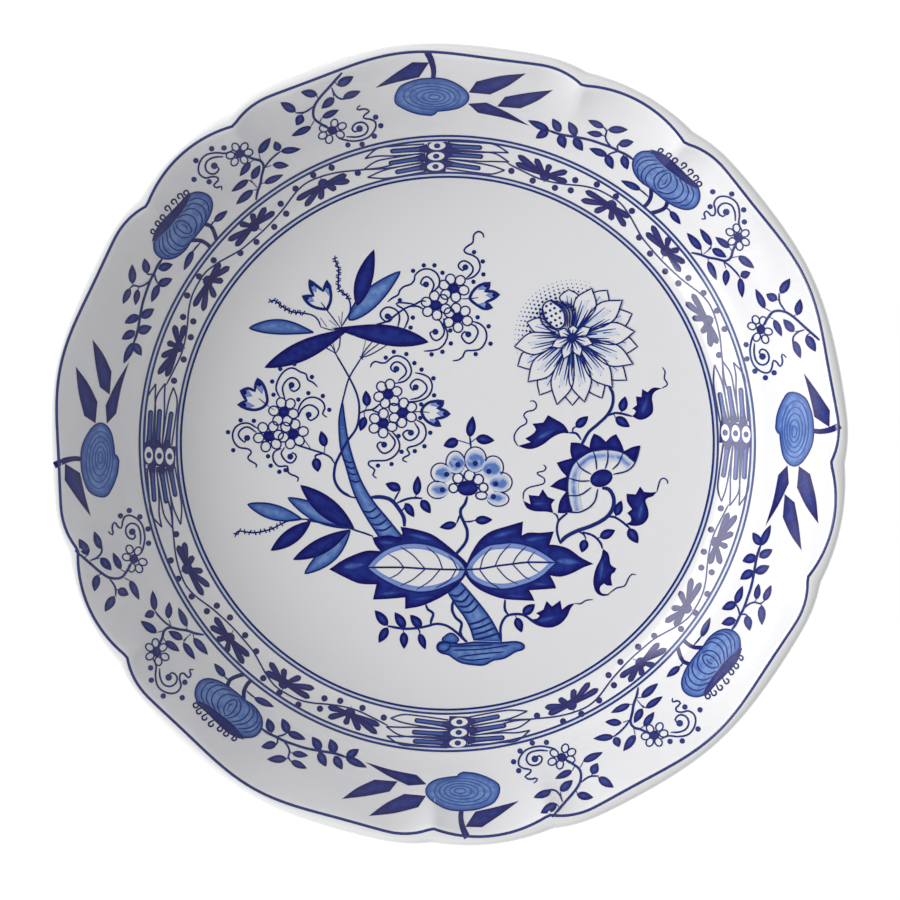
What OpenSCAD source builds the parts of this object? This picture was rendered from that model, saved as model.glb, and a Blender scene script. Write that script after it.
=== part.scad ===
// Porcelain serving bowl: a lobed bowl body standing on a turned foot ring.
// Millimetres, +Z up, origin at the middle of the plane that the foot stands on.

/* [Overall] */
// Diameter over the lip, across two opposite broad lobes
bowl_d = 250; // [200:1:320]
// Height from the table to the crest of the lip
bowl_h = 52; // [44:0.5:80]

/* [Wall] */
// Thickness of the wall at the lip
lip_t = 3.6; // [2.5:0.1:5]
// Thickness of the wall where it leaves the well
wall_t = 4.4; // [3:0.1:6]
// Thickness of the floor in the middle
floor_t = 5; // [3.5:0.1:8]
// Angle of the inside wall just under the lip, above the horizontal
lip_angle = 50; // [40:1:65]

/* [Well and band] */
// Diameter of the well, up to the turn into the band
well_d = 168; // [130:1:200]
// Rise of the well from its middle to its edge
well_rise = 2.2; // [0.5:0.1:5]
// Angle of the inside at the edge of the well
well_angle = 7; // [3:1:15]
// Width of the sloping band around the well, seen from above
band_w = 15; // [10:0.5:20]
// Rise across the band
band_rise = 9.5; // [6:0.5:14]

/* [Lobed rim] */
// Number of broad lobes, with one narrow lobe between each two
lobes = 5; // [3:1:8]
// Direction of the first narrow lobe, from +X
lobe_turn = -11.4; // [-36:0.1:36]
// Half the width of a narrow lobe
narrow_half = 8.8; // [6:0.1:12]
// How far a cusp cuts in from the middle of a broad lobe
cusp_depth = 3.7; // [1:0.1:6]
// How far the middle of a narrow lobe stays inside a broad one
narrow_drop = 0.3; // [0:0.1:1]
// Depth of the shallow dip on either side of a broad lobe's middle
dip_depth = 2; // [0.5:0.1:3]
// Share of the lobing that shows on the outside of the wall
outside_share = 0.4; // [0.2:0.05:1]
// How quickly the lobing dies away down the wall
fade_power = 1.6; // [1:0.1:3]

/* [Foot ring] */
// Diameter of the foot ring at the tread
foot_d = 128; // [100:1:155]
// Height of the foot ring
foot_h = 6; // [4:0.5:9]
// Width of the tread
foot_w = 4; // [3:0.5:7]
// How much each side of the ring leans out towards the body
foot_lean = 1; // [0.5:0.1:2]
// Chamfer on the edges of the tread
foot_chamfer = 0.7; // [0.3:0.1:1]

/* [Hidden] */

porcelain = [0.95, 0.95, 0.93];
bare_clay = [0.88, 0.85, 0.78];

// The underside stays flat past the foot ring by this much
foot_margin = 1.5;
flat_r = foot_d / 2 + foot_lean + foot_margin;

// Steps along each stretch of the section, and across half of each lobe
well_rings = 5;
band_rings = 4;
wall_rings = 7;
lip_rings = 4;
under_rings = 3;
narrow_steps = 3;
broad_steps = 9;

function bezier(p, t) =
    pow(1 - t, 3) * p[0] + 3 * t * pow(1 - t, 2) * p[1]
    + 3 * t * t * (1 - t) * p[2] + pow(t, 3) * p[3];
function slope(a) = [cos(a), sin(a)];
function angle_of(v) = atan2(v[1], v[0]);
// A smooth stretch from p to q that leaves at angle a and arrives at angle b
function stretch(p, a, q, b) = [p, p + norm(q - p) / 3 * slope(a), q - norm(q - p) / 3 * slope(b), q];

// Inside of the section, from the middle of the floor out to the lip: [radius, height]
floor_z = foot_h + floor_t;
well_edge = [well_d / 2, floor_z + well_rise];
band_edge = well_edge + [band_w, band_rise];
lip_mid = [bowl_d / 2 - lip_t / 2, bowl_h - lip_t / 2];
lip_in = lip_mid + lip_t / 2 * slope(lip_angle + 90);
band_angle = (angle_of(band_edge - well_edge) + angle_of(lip_in - band_edge)) / 2;
band_curve = stretch(well_edge, well_angle, band_edge, band_angle);
wall_curve = stretch(band_edge, band_angle, lip_in, lip_angle);

function well_point(t) = [t * well_edge[0], floor_z + well_rise * pow(t, 4)];
function tangent(p, t) = bezier(p, min(t + 0.01, 1)) - bezier(p, max(t - 0.01, 0));
// A point on the outside, one thickness straight through the wall
function through(p, t, thick) = bezier(p, t) + thick * slope(angle_of(tangent(p, t)) - 90);

inside = concat(
    [for (i = [1:well_rings]) well_point(i / well_rings)],
    [for (i = [1:band_rings]) bezier(band_curve, i / band_rings)],
    [for (i = [1:wall_rings]) bezier(wall_curve, i / wall_rings)]);
lip = [for (i = [1:lip_rings - 1]) lip_mid + lip_t / 2 * slope(lip_angle + 90 - 180 * i / lip_rings)];
outside = concat(
    [for (i = [wall_rings:-1:0]) through(wall_curve, i / wall_rings, wall_t + (lip_t - wall_t) * i / wall_rings)],
    [for (i = [band_rings - 1:-1:0]) through(band_curve, i / band_rings, wall_t)]);
under_curve = stretch([flat_r, foot_h], 0, through(band_curve, 0, wall_t), well_angle);
underside = [for (i = [under_rings - 1:-1:0]) bezier(under_curve, i / under_rings)];
section = concat(inside, lip, outside, underside);

// How much of the lobing each ring takes: all of it at the lip, none at the band
function fade(p) = pow(max(0, min(1, (p[1] - band_edge[1]) / (lip_in[1] - band_edge[1]))), fade_power);
share = concat(
    [for (p = inside) fade(p)],
    [for (i = [1:lip_rings - 1]) 1 + (outside_share - 1) * i / lip_rings],
    [for (p = outside) outside_share * fade(p)],
    [for (p = underside) 0]);

// Rim outline: how far it stays inside the broad lobe's middle, u degrees from the narrow lobe's middle
broad_half = 180 / lobes;
dip_at = 0.515;
shoulder = 0.25;
function narrow(u) = narrow_drop + (cusp_depth - narrow_drop) * pow(u / narrow_half, 2);
function broad(v) =
    dip_depth * pow(sin(90 * (1 - v) / dip_at), 2) + cusp_depth * pow(max(0, 1 - v / shoulder), 2);
function inset(u) = u < narrow_half ? narrow(u) : broad((u - narrow_half) / (broad_half - narrow_half));

// [direction, inset] all round, out and back over each lobe; the steps crowd towards the cusps
half_lobe = concat(
    [for (i = [0:narrow_steps - 1]) narrow_half * i / narrow_steps],
    [for (i = [0:broad_steps]) narrow_half + (broad_half - narrow_half) * pow(i / broad_steps, 1.2)]);
last = len(half_lobe) - 1;
one_lobe = concat(
    [for (u = half_lobe) [u, inset(u)]],
    [for (i = [last - 1:-1:1]) [2 * broad_half - half_lobe[i], inset(half_lobe[i])]]);
around = [for (k = [0:lobes - 1]) for (s = one_lobe) [lobe_turn + 2 * broad_half * k + s[0], s[1]]];

module bowl_body() {
    n = len(around);
    rings = len(section);
    points = concat(
        [[0, 0, floor_z], [0, 0, foot_h]],
        [for (j = [0:rings - 1]) for (a = around)
            let (r = section[j][0] - share[j] * a[1])
            [r * cos(a[0]), r * sin(a[0]), section[j][1]]]);
    floor_fan = [for (i = [0:n - 1]) [0, 2 + (i + 1) % n, 2 + i]];
    under_fan = [for (i = [0:n - 1]) [1, 2 + (rings - 1) * n + i, 2 + (rings - 1) * n + (i + 1) % n]];
    skin = [for (j = [0:rings - 2]) for (i = [0:n - 1])
        let (a = 2 + j * n + i, b = 2 + j * n + (i + 1) % n)
        each [[a, b, b + n], [a, b + n, a + n]]];
    color(porcelain)
        polyhedron(points = points, faces = concat(floor_fan, skin, under_fan), convexity = 6);
}

module foot_ring() {
    r = foot_d / 2;
    c = foot_chamfer;
    color(bare_clay)
        rotate_extrude($fn = 180)
            polygon([
                [r - foot_w - foot_lean, foot_h], [r - foot_w, c], [r - foot_w + c, 0],
                [r - c, 0], [r, c], [r + foot_lean, foot_h]]);
}

bowl_body();
foot_ring();
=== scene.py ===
import bmesh
import bpy
import math
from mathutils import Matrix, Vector
from mathutils.geometry import interpolate_bezier
from mathutils.kdtree import KDTree


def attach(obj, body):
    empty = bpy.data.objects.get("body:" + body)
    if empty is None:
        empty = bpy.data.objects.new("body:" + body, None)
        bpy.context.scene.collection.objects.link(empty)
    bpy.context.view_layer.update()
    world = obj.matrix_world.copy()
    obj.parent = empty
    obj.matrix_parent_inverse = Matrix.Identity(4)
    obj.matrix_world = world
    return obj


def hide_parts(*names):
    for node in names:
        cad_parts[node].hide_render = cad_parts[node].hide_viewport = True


# Lobed porcelain serving bowl with a hand-painted cobalt pattern.
# Scene in metres; the section and the paintwork are written in millimetres.

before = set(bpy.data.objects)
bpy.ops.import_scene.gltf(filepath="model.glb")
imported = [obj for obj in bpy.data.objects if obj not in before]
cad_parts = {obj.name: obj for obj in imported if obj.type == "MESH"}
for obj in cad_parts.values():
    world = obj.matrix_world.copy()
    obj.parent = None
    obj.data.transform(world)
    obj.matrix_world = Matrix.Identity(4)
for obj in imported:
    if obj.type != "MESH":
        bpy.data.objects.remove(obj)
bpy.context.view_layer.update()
scene = bpy.context.scene
mm = 0.001


def pickOnly(*objects):
    bpy.ops.object.select_all(action='DESELECT')
    for item in objects:
        item.select_set(True)
    bpy.context.view_layer.objects.active = objects[0]


def newMeshObject(name, points, edges, faces=()):
    mesh = bpy.data.meshes.new(name)
    mesh.from_pydata(points, edges, faces)
    item = bpy.data.objects.new(name, mesh)
    scene.collection.objects.link(item)
    return item


def spinAround(item, steps):
    pickOnly(item)
    bpy.ops.object.mode_set(mode='EDIT')
    bpy.ops.mesh.select_all(action='SELECT')
    bpy.ops.mesh.spin(steps=steps, angle=math.tau, center=(0, 0, 0), axis=(0, 0, 1))
    bpy.ops.mesh.select_all(action='SELECT')
    bpy.ops.mesh.remove_doubles(threshold=0.000002)
    bpy.ops.mesh.normals_make_consistent(inside=False)
    bpy.ops.object.mode_set(mode='OBJECT')


def smoothShade(item, angle):
    pickOnly(item)
    bpy.ops.object.shade_smooth_by_angle(angle=math.radians(angle))


def addNode(tree, kind, place, **settings):
    node = tree.nodes.new(kind)
    node.location = place
    for key, value in settings.items():
        setattr(node, key, value)
    return node


def startGroup(name, outputs):
    tree = bpy.data.node_groups.new(name, 'ShaderNodeTree')
    for label, kind in outputs:
        tree.interface.new_socket(label, in_out='OUTPUT', socket_type=kind)
    return tree, addNode(tree, 'NodeGroupOutput', (600, 0))


def noiseNode(tree, coordinates, place, scale, detail):
    noise = addNode(tree, 'ShaderNodeTexNoise', place)
    noise.inputs['Scale'].default_value = scale
    noise.inputs['Detail'].default_value = detail
    tree.links.new(coordinates.outputs['Object'], noise.inputs['Vector'])
    return noise


def rangeNode(tree, source, place, start=(0, 1), end=(0, 1)):
    # stretches a value from the start range onto the end range
    node = addNode(tree, 'ShaderNodeMapRange', place)
    for socket, value in zip(('From Min', 'From Max', 'To Min', 'To Max'), start + end):
        node.inputs[socket].default_value = value
    tree.links.new(source, node.inputs['Value'])
    return node


glazeLook = {
    "swellScale": 28, "grainScale": 900, "cloudScale": 14,
    "grainShare": 0.12, "bumpStrength": 0.25, "bumpDepth": 0.0004,
    "roughness": (0.10, 0.20), "tint": (0.96, 1.0),
}
brushLook = {"patchScale": 420, "edge": (0.3, 1.9), "patch": (0.36, 0.66), "patchReach": (0.4, 1.2)}


def makeGlazeSkin(s):
    # slow waviness of the fired glaze plus a few pin holes, as a normal, a roughness and a tint
    tree, out = startGroup("glazeSkin", [("Normal", 'NodeSocketVector'),
                                         ("Roughness", 'NodeSocketFloat'),
                                         ("Tint", 'NodeSocketFloat')])
    link = tree.links.new
    place = addNode(tree, 'ShaderNodeTexCoord', (-900, 0))
    swell = noiseNode(tree, place, (-600, 200), s["swellScale"], 2)
    grain = noiseNode(tree, place, (-600, -50), s["grainScale"], 3)
    cloud = noiseNode(tree, place, (-600, -300), s["cloudScale"], 5)
    blend = addNode(tree, 'ShaderNodeMix', (-300, 150))
    blend.inputs['Factor'].default_value = s["grainShare"]
    bump = addNode(tree, 'ShaderNodeBump', (0, 150))
    bump.inputs['Strength'].default_value = s["bumpStrength"]
    bump.inputs['Distance'].default_value = s["bumpDepth"]
    rough = rangeNode(tree, grain.outputs['Fac'], (0, -50), end=s["roughness"])
    tint = rangeNode(tree, cloud.outputs['Fac'], (0, -300), end=s["tint"])
    link(swell.outputs['Fac'], blend.inputs['A'])
    link(grain.outputs['Fac'], blend.inputs['B'])
    link(blend.outputs['Result'], bump.inputs['Height'])
    link(bump.outputs['Normal'], out.inputs['Normal'])
    link(rough.outputs['Result'], out.inputs['Roughness'])
    link(tint.outputs['Result'], out.inputs['Tint'])
    return tree


def makeBrushPool(s):
    # cobalt lies thicker along the edge of a stroke; "depth" is painted on the strokes in millimetres
    tree, out = startGroup("brushPool", [("Thin", 'NodeSocketFloat')])
    link = tree.links.new
    depth = addNode(tree, 'ShaderNodeAttribute', (-900, 200), attribute_name="depth")
    place = addNode(tree, 'ShaderNodeTexCoord', (-900, -100))
    patch = noiseNode(tree, place, (-600, -100), s["patchScale"], 5)
    pool = rangeNode(tree, depth.outputs['Fac'], (-500, 250), start=s["edge"])
    spread = rangeNode(tree, patch.outputs['Fac'], (-300, -100), s["patch"], s["patchReach"])
    thin = addNode(tree, 'ShaderNodeMath', (0, 100), operation='MULTIPLY', use_clamp=True)
    link(pool.outputs['Result'], thin.inputs[0])
    link(spread.outputs['Result'], thin.inputs[1])
    link(thin.outputs['Value'], out.inputs['Thin'])
    return tree


glazeSkin = makeGlazeSkin(glazeLook)
brushPool = makeBrushPool(brushLook)
whiteGlaze = (0.76, 0.76, 0.77, 1)
glazeIor = 1.6


def startMaterial(name):
    material = bpy.data.materials.new(name)
    material.use_nodes = True
    return material, material.node_tree, material.node_tree.nodes['Principled BSDF']


def makeGlaze(name, colour, coat):
    material, tree, shader = startMaterial(name)
    skin = addNode(tree, 'ShaderNodeGroup', (-600, 0), node_tree=glazeSkin)
    tinted = addNode(tree, 'ShaderNodeMix', (-300, 200), data_type='RGBA', blend_type='MULTIPLY')
    tinted.inputs[0].default_value = 1
    tinted.inputs[6].default_value = colour
    tree.links.new(skin.outputs['Tint'], tinted.inputs[7])
    tree.links.new(tinted.outputs[2], shader.inputs['Base Color'])
    tree.links.new(skin.outputs['Roughness'], shader.inputs['Roughness'])
    tree.links.new(skin.outputs['Normal'], shader.inputs['Normal'])
    shader.inputs['IOR'].default_value = glazeIor
    shader.inputs['Coat Weight'].default_value = coat
    return material


def makeCobalt(name, edgeColour, middleColour, reach):
    material, tree, shader = startMaterial(name)
    skin = addNode(tree, 'ShaderNodeGroup', (-900, -200), node_tree=glazeSkin)
    pool = addNode(tree, 'ShaderNodeGroup', (-900, 200), node_tree=brushPool)
    washed = addNode(tree, 'ShaderNodeMix', (-300, 200), data_type='RGBA')
    washed.inputs[6].default_value = edgeColour
    washed.inputs[7].default_value = middleColour
    amount = addNode(tree, 'ShaderNodeMath', (-600, 200), operation='MULTIPLY')
    amount.inputs[1].default_value = reach
    tree.links.new(pool.outputs['Thin'], amount.inputs[0])
    tree.links.new(amount.outputs['Value'], washed.inputs[0])
    tree.links.new(washed.outputs[2], shader.inputs['Base Color'])
    tree.links.new(skin.outputs['Roughness'], shader.inputs['Roughness'])
    tree.links.new(skin.outputs['Normal'], shader.inputs['Normal'])
    shader.inputs['IOR'].default_value = glazeIor
    return material


porcelain = makeGlaze("porcelain", whiteGlaze, 0.3)
cobaltLine = makeCobalt("cobaltLine", (0.008, 0.018, 0.15, 1), (0.022, 0.05, 0.26, 1), 0.9)
cobaltDark = makeCobalt("cobaltDark", (0.006, 0.003, 0.105, 1), (0.014, 0.03, 0.22, 1), 0.95)
cobaltMid = makeCobalt("cobaltMid", (0.035, 0.09, 0.34, 1), (0.15, 0.26, 0.54, 1), 1.0)
cobaltPale = makeCobalt("cobaltPale", (0.16, 0.24, 0.55, 1), (0.34, 0.43, 0.70, 1), 1.0)
cobaltTint = makeCobalt("cobaltTint", (0.60, 0.66, 0.78, 1), (0.42, 0.52, 0.74, 1), 1.0)
cobaltFade = makeCobalt("cobaltFade", (0.56, 0.62, 0.75, 1), (0.10, 0.19, 0.50, 1), 1.5)
cobaltGlow = makeCobalt("cobaltGlow", (0.013, 0.028, 0.21, 1), (0.06, 0.125, 0.40, 1), 2.2)
print("materials made")


bowlSize = {
    "floorZ": 11, "wellR": 84, "wellRise": 2.2, "wellAngle": 7, "wellStep": 4,
    "bandR": 99, "bandZ": 22.7, "bandAngle": 41.9,  # the band's upper edge
    "lipR": 123.2, "lipZ": 50.2, "lipAngle": 50, "lipRound": 1.8, "lipSteps": 9, "crest": 1.16,
    "wall": 4.4, "underR": 66.5, "underZ": 6, "underSteps": (0, 20, 40, 56),
    "lobes": 5, "turn": -11.4, "narrowHalf": 8.8, "narrowDrop": 0.3, "cuspDepth": 3.7,
    "dipDepth": 2, "dipAt": 0.515, "shoulder": 0.25,  # the shallow dips in a broad lobe
    "outsideShare": 0.4, "fade": 1.6, "roundBelow": 4,  # the lobing dies away down the wall
    "steps": 450, "sharpAngle": 50,
}


def bend(start, startAngle, end, endAngle, count):
    # one smooth stretch of the section, leaving and arriving at the given slopes
    start, end = Vector(start), Vector(end)
    reach = (end - start).length / 3
    a, b = math.radians(startAngle), math.radians(endAngle)
    first = start + Vector((math.cos(a), math.sin(a))) * reach
    second = end - Vector((math.cos(b), math.sin(b))) * reach
    return [tuple(p) for p in interpolate_bezier(start, first, second, end, count)]


def offsetPoint(point, angle, thickness):
    a = math.radians(angle)
    return (point[0] + thickness * math.sin(a), point[1] - thickness * math.cos(a))


def bowlSection(s):
    wellEdge = (s["wellR"], s["floorZ"] + s["wellRise"])
    bandEdge = (s["bandR"], s["bandZ"])
    lipIn = offsetPoint((s["lipR"], s["lipZ"]), s["lipAngle"], -s["lipRound"])
    lipOut = offsetPoint((s["lipR"], s["lipZ"]), s["lipAngle"], s["lipRound"])
    inside = [(r, s["floorZ"] + s["wellRise"] * (r / s["wellR"]) ** 4)
              for r in range(0, s["wellR"], s["wellStep"])]
    inside += bend(wellEdge, s["wellAngle"], bandEdge, s["bandAngle"], 9)[:-1]
    inside += bend(bandEdge, s["bandAngle"], lipIn, s["lipAngle"], 19)
    lip = []
    for k in range(1, s["lipSteps"]):
        a = math.radians(s["lipAngle"] + 90 - 180 / s["lipSteps"] * k)
        lip.append((s["lipR"] + s["lipRound"] * math.cos(a), s["lipZ"] + s["lipRound"] * math.sin(a)))
    bandOut = offsetPoint(bandEdge, s["bandAngle"], s["wall"])
    wellOut = offsetPoint(wellEdge, s["wellAngle"], s["wall"])
    outside = bend((s["underR"], s["underZ"]), 0, wellOut, s["wellAngle"], 7)[:-1]
    outside += bend(wellOut, s["wellAngle"], bandOut, s["bandAngle"], 9)[:-1]
    outside += bend(bandOut, s["bandAngle"], lipOut, s["lipAngle"], 17)
    under = [(r, s["underZ"]) for r in s["underSteps"]]
    return inside, lip, under + outside


def rimInset(angle, s):
    # how far the outline falls in from the lobes' circle, angle in degrees
    period = 360 / s["lobes"]
    u = abs((angle - s["turn"] + period / 2) % period - period / 2)
    if u < s["narrowHalf"]:
        return s["narrowDrop"] + (s["cuspDepth"] - s["narrowDrop"]) * (u / s["narrowHalf"]) ** 2
    v = (u - s["narrowHalf"]) / (period / 2 - s["narrowHalf"])
    dip = s["dipDepth"] * math.sin(math.pi / 2 * (1 - v) / s["dipAt"]) ** 2
    return dip + s["cuspDepth"] * max(0, 1 - v / s["shoulder"]) ** 2


def heightToRadius(points, z):
    for (r0, z0), (r1, z1) in zip(points, points[1:]):
        if z0 <= z <= z1 and z1 > z0:
            return r0 + (r1 - r0) * (z - z0) / (z1 - z0)
    return points[-1][0]


def makeBowl(s):
    inside, lip, outside = bowlSection(s)
    points = [(r * mm, 0, z * mm) for r, z in inside + lip + outside[::-1]]
    bowl = newMeshObject("bowl_body_glazed", points, [(k, k + 1) for k in range(len(points) - 1)])
    spinAround(bowl, s["steps"])
    for vertex in bowl.data.vertices:
        x, y, z = vertex.co
        r = math.hypot(x, y)
        if z * 1000 <= s["bandZ"] - s["roundBelow"]:
            continue
        inner = heightToRadius(inside, z * 1000)
        outer = heightToRadius(outside, z * 1000)
        across = min(1, max(0, (r * 1000 - inner) / max(0.1, outer - inner)))
        rise = max(0, (z * 1000 - s["bandZ"]) / (s["lipZ"] + s["crest"] - s["bandZ"]))
        share = (1 - (1 - s["outsideShare"]) * across) * min(1, rise) ** s["fade"]
        moved = r - share * rimInset(math.degrees(math.atan2(y, x)), s) * mm
        vertex.co = (x * moved / r, y * moved / r, z)
    smoothShade(bowl, s["sharpAngle"])
    bowl.data.materials.append(porcelain)
    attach(bowl, "root")
    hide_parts("bowl_body")
    return bowl


bowl = makeBowl(bowlSize)
print("bowl spun,", len(bowl.data.polygons), "faces")


footSize = {
    "bareEdge": (1.2, 1.45), "wander": 0.0006,
    "bareColour": (0.66, 0.64, 0.60, 1), "bareRoughness": 0.85,
}


def finishFoot(s):
    # the CAD ring stays; glazed walls, and a bare wiped edge that it stands on
    material, tree, shader = startMaterial("footPorcelain")
    skin = addNode(tree, 'ShaderNodeGroup', (-900, -200), node_tree=glazeSkin)
    place = addNode(tree, 'ShaderNodeTexCoord', (-1200, 200))
    split = addNode(tree, 'ShaderNodeSeparateXYZ', (-1000, 200))
    wander = addNode(tree, 'ShaderNodeMath', (-800, 300), operation='MULTIPLY_ADD')
    wander.inputs[1].default_value = s["wander"]
    edge = tuple(z * mm for z in s["bareEdge"])
    bare = rangeNode(tree, wander.outputs['Value'], (-600, 200), start=edge)
    colour = addNode(tree, 'ShaderNodeMix', (-300, 200), data_type='RGBA')
    colour.inputs[6].default_value = s["bareColour"]
    colour.inputs[7].default_value = whiteGlaze
    rough = addNode(tree, 'ShaderNodeMix', (-300, -100))
    rough.inputs['A'].default_value = s["bareRoughness"]
    link = tree.links.new
    link(place.outputs['Object'], split.inputs['Vector'])
    link(skin.outputs['Tint'], wander.inputs[0])
    link(split.outputs['Z'], wander.inputs[2])
    link(bare.outputs['Result'], colour.inputs[0])
    link(bare.outputs['Result'], rough.inputs['Factor'])
    link(skin.outputs['Roughness'], rough.inputs['B'])
    link(colour.outputs[2], shader.inputs['Base Color'])
    link(rough.outputs['Result'], shader.inputs['Roughness'])
    link(skin.outputs['Normal'], shader.inputs['Normal'])
    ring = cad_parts["foot_ring"]
    if ring.material_slots:
        for slot in ring.material_slots:
            slot.material = material
    else:
        ring.data.materials.append(material)


finishFoot(footSize)
print("foot ring finished")


# A drawing is made flat, in millimetres, as seen from above at the rim's height.
# Its strokes and fills are then laid on the glaze along lines to a point over the middle.
# Each ink has its glaze and how far it lies above the clay, so that one covers another.
inks = {
    "pale": (cobaltPale, 0.03),
    "mid": (cobaltMid, 0.045),
    "dark": (cobaltDark, 0.06),
    "line": (cobaltLine, 0.075),
    "glow": (cobaltGlow, 0.09),
    "white": (porcelain, 0.105),
    "overlay": (cobaltMid, 0.12),
    "haze": (cobaltTint, 0.02),
    "tint": (cobaltTint, 0.128),
    "veil": (cobaltPale, 0.136),
    "fade": (cobaltFade, 0.142),
    "top": (cobaltLine, 0.15),
}
eye = Vector((0, 0, 1.45))
rimPlane = 0.052
nibPoints = 5
longestEdge = 2.2
fillDrop = 0.012  # fills lie this far under strokes of the same ink
layerStep = 0.002  # neighbouring marks of one ink lie this far apart in height


def makeNib():
    curve = bpy.data.curves.new("nib", 'CURVE')
    curve.dimensions = '3D'
    spline = curve.splines.new('POLY')
    spline.points.add(nibPoints - 1)
    for k, point in enumerate(spline.points):
        point.co = (2 * k / (nibPoints - 1) - 1, 0, 0, 1)
    item = bpy.data.objects.new("nib", curve)
    scene.collection.objects.link(item)
    item.hide_render = True
    return item


def smoothPath(points, step=0.7, closed=False):
    # a soft path through the given points
    ends = [Vector(p) for p in points]
    count = len(ends)
    path = []
    for k in range(count if closed else count - 1):
        a, b = ends[k], ends[(k + 1) % count]
        before = ends[k - 1] if closed or k > 0 else a
        after = ends[(k + 2) % count] if closed or k + 2 < count else b
        reach = (b - a).length
        leave = (b - before).normalized() * reach / 3
        arrive = (after - a).normalized() * reach / 3
        pieces = max(2, round(reach / step)) + 1
        path += interpolate_bezier(a, a + leave, b - arrive, b, pieces)[:-1]
    return path if closed else path + [ends[-1]]


def newDrawing():
    return {"strokes": {ink: [] for ink in inks}, "fills": {ink: [] for ink in inks}}


def stroke(art, points, width=0.5, ink="line", taper=(0.6, 0.6), step=0.8):
    # a brush line; width may be one value or one at each end; taper thins the very ends
    path = smoothPath(points, step) if len(points) > 2 else [Vector(p) for p in points]
    first, last = width if isinstance(width, tuple) else (width, width)
    count = len(path) - 1
    made = []
    for k, p in enumerate(path):
        t = k / count
        half = (first + (last - first) * t) / 2
        half *= min(1, taper[0] + (1 - taper[0]) * k / 2)
        half *= min(1, taper[1] + (1 - taper[1]) * (count - k) / 2)
        made.append((p.x, p.y, half))
    art["strokes"][ink].append(made)


def trace(art, path, width=0.5, ink="line"):
    # a line of one width round a closed path, its ends lapping over each other
    art["strokes"][ink].append([(p[0], p[1], width / 2) for p in path + path[:2]])


def loop(art, points, width=0.45, ink="line"):
    trace(art, smoothPath(points, 0.6, closed=True), width, ink)


def circlePoints(centre, radius, count=12, ratio=1, turn=0):
    a = math.radians(turn)
    made = []
    for k in range(count):
        u = math.tau * k / count
        x, y = radius * math.cos(u), radius * ratio * math.sin(u)
        made.append((centre[0] + x * math.cos(a) - y * math.sin(a),
                     centre[1] + x * math.sin(a) + y * math.cos(a)))
    return made


def spot(art, centre, radius, ink="line", ratio=1, turn=0):
    # a dab of the brush: an oval drawn as one short swelling stroke
    a = math.radians(turn)
    made = []
    for k in range(9):
        u = math.pi * k / 8
        along = -radius * math.cos(u)
        made.append((centre[0] + along * math.cos(a), centre[1] + along * math.sin(a),
                     radius * ratio * math.sin(u)))
    art["strokes"][ink].append(made)


def spots(art, centres, radius, ink="line"):
    for centre in centres:
        spot(art, centre, radius, ink)


leafShape = {"step": 0.7, "fewest": 8, "fullness": 0.8, "thinnest": 0.03}


def leaf(art, base, tip, width, ink="dark", outline=0, belly=0.42, bow=0):
    # one leaf, base to tip; belly is where it is widest; bow bends it to the left of its direction
    base, tip = Vector(base), Vector(tip)
    along = tip - base
    side = Vector((-along.y, along.x)).normalized()
    made, left, right = [], [], []
    power = math.log(0.5) / math.log(belly)
    steps = max(leafShape["fewest"], round(along.length / leafShape["step"]))
    for k in range(steps + 1):
        t = k / steps
        swell = math.sin(math.pi * t ** power)
        half = width / 2 * swell ** leafShape["fullness"]
        middle = base + along * t + side * bow * math.sin(math.pi * t)
        made.append((middle.x, middle.y, max(half, leafShape["thinnest"])))
        left.append(tuple(middle + side * half))
        right.append(tuple(middle - side * half))
    art["strokes"][ink].append(made)
    if outline:
        edge = [(x, y, outline / 2) for x, y in left + right[::-1][1:]]
        art["strokes"]["line"].append(edge)


leafHeart = {"start": 0.16, "end": 0.74, "width": 0.46}


def leaves(art, rows):
    # small leaves, each with a paler heart where the brush lifted
    for base, tip, width in rows:
        leaf(art, base, tip, width)
        base, tip = Vector(base), Vector(tip)
        start, end = base.lerp(tip, leafHeart["start"]), base.lerp(tip, leafHeart["end"])
        leaf(art, start, end, width * leafHeart["width"], "glow")


def cornered(runs):
    # a closed outline from smooth runs that meet at sharp corners
    made = []
    start = runs[-1][-1] if len(runs) > 1 else runs[0][0]
    for run in runs:
        points = run if run[0] == start else [start] + run
        made += smoothPath(points, 0.9)[:-1]
        start = run[-1]
    return made


def flatFill(art, path, ink):
    art["fills"][ink].append([(p[0], p[1]) for p in path])


def fill(art, runs, ink="dark", outline=0):
    path = cornered(runs) if isinstance(runs[0], list) else smoothPath(runs, 0.9, closed=True)
    flatFill(art, path, ink)
    if outline:
        trace(art, path, outline)


def strokesToMesh(name, lines, lift, nib):
    curve = bpy.data.curves.new(name, 'CURVE')
    curve.dimensions = '3D'
    curve.bevel_mode = 'OBJECT'
    curve.bevel_object = nib
    curve.twist_mode = 'Z_UP'
    depths = []
    for n, line in enumerate(lines):
        spline = curve.splines.new('POLY')
        spline.points.add(len(line) - 1)
        for point, (x, y, half) in zip(spline.points, line):
            point.co = (x, y, lift + layerStep * (n % 6), 1)
            point.radius = half
            depths += [half * (1 - abs(2 * k / (nibPoints - 1) - 1)) for k in range(nibPoints)]
    item = bpy.data.objects.new(name, curve)
    scene.collection.objects.link(item)
    pickOnly(item)
    bpy.ops.object.convert(target='MESH')
    item = bpy.context.view_layer.objects.active
    return item, depths


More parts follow.
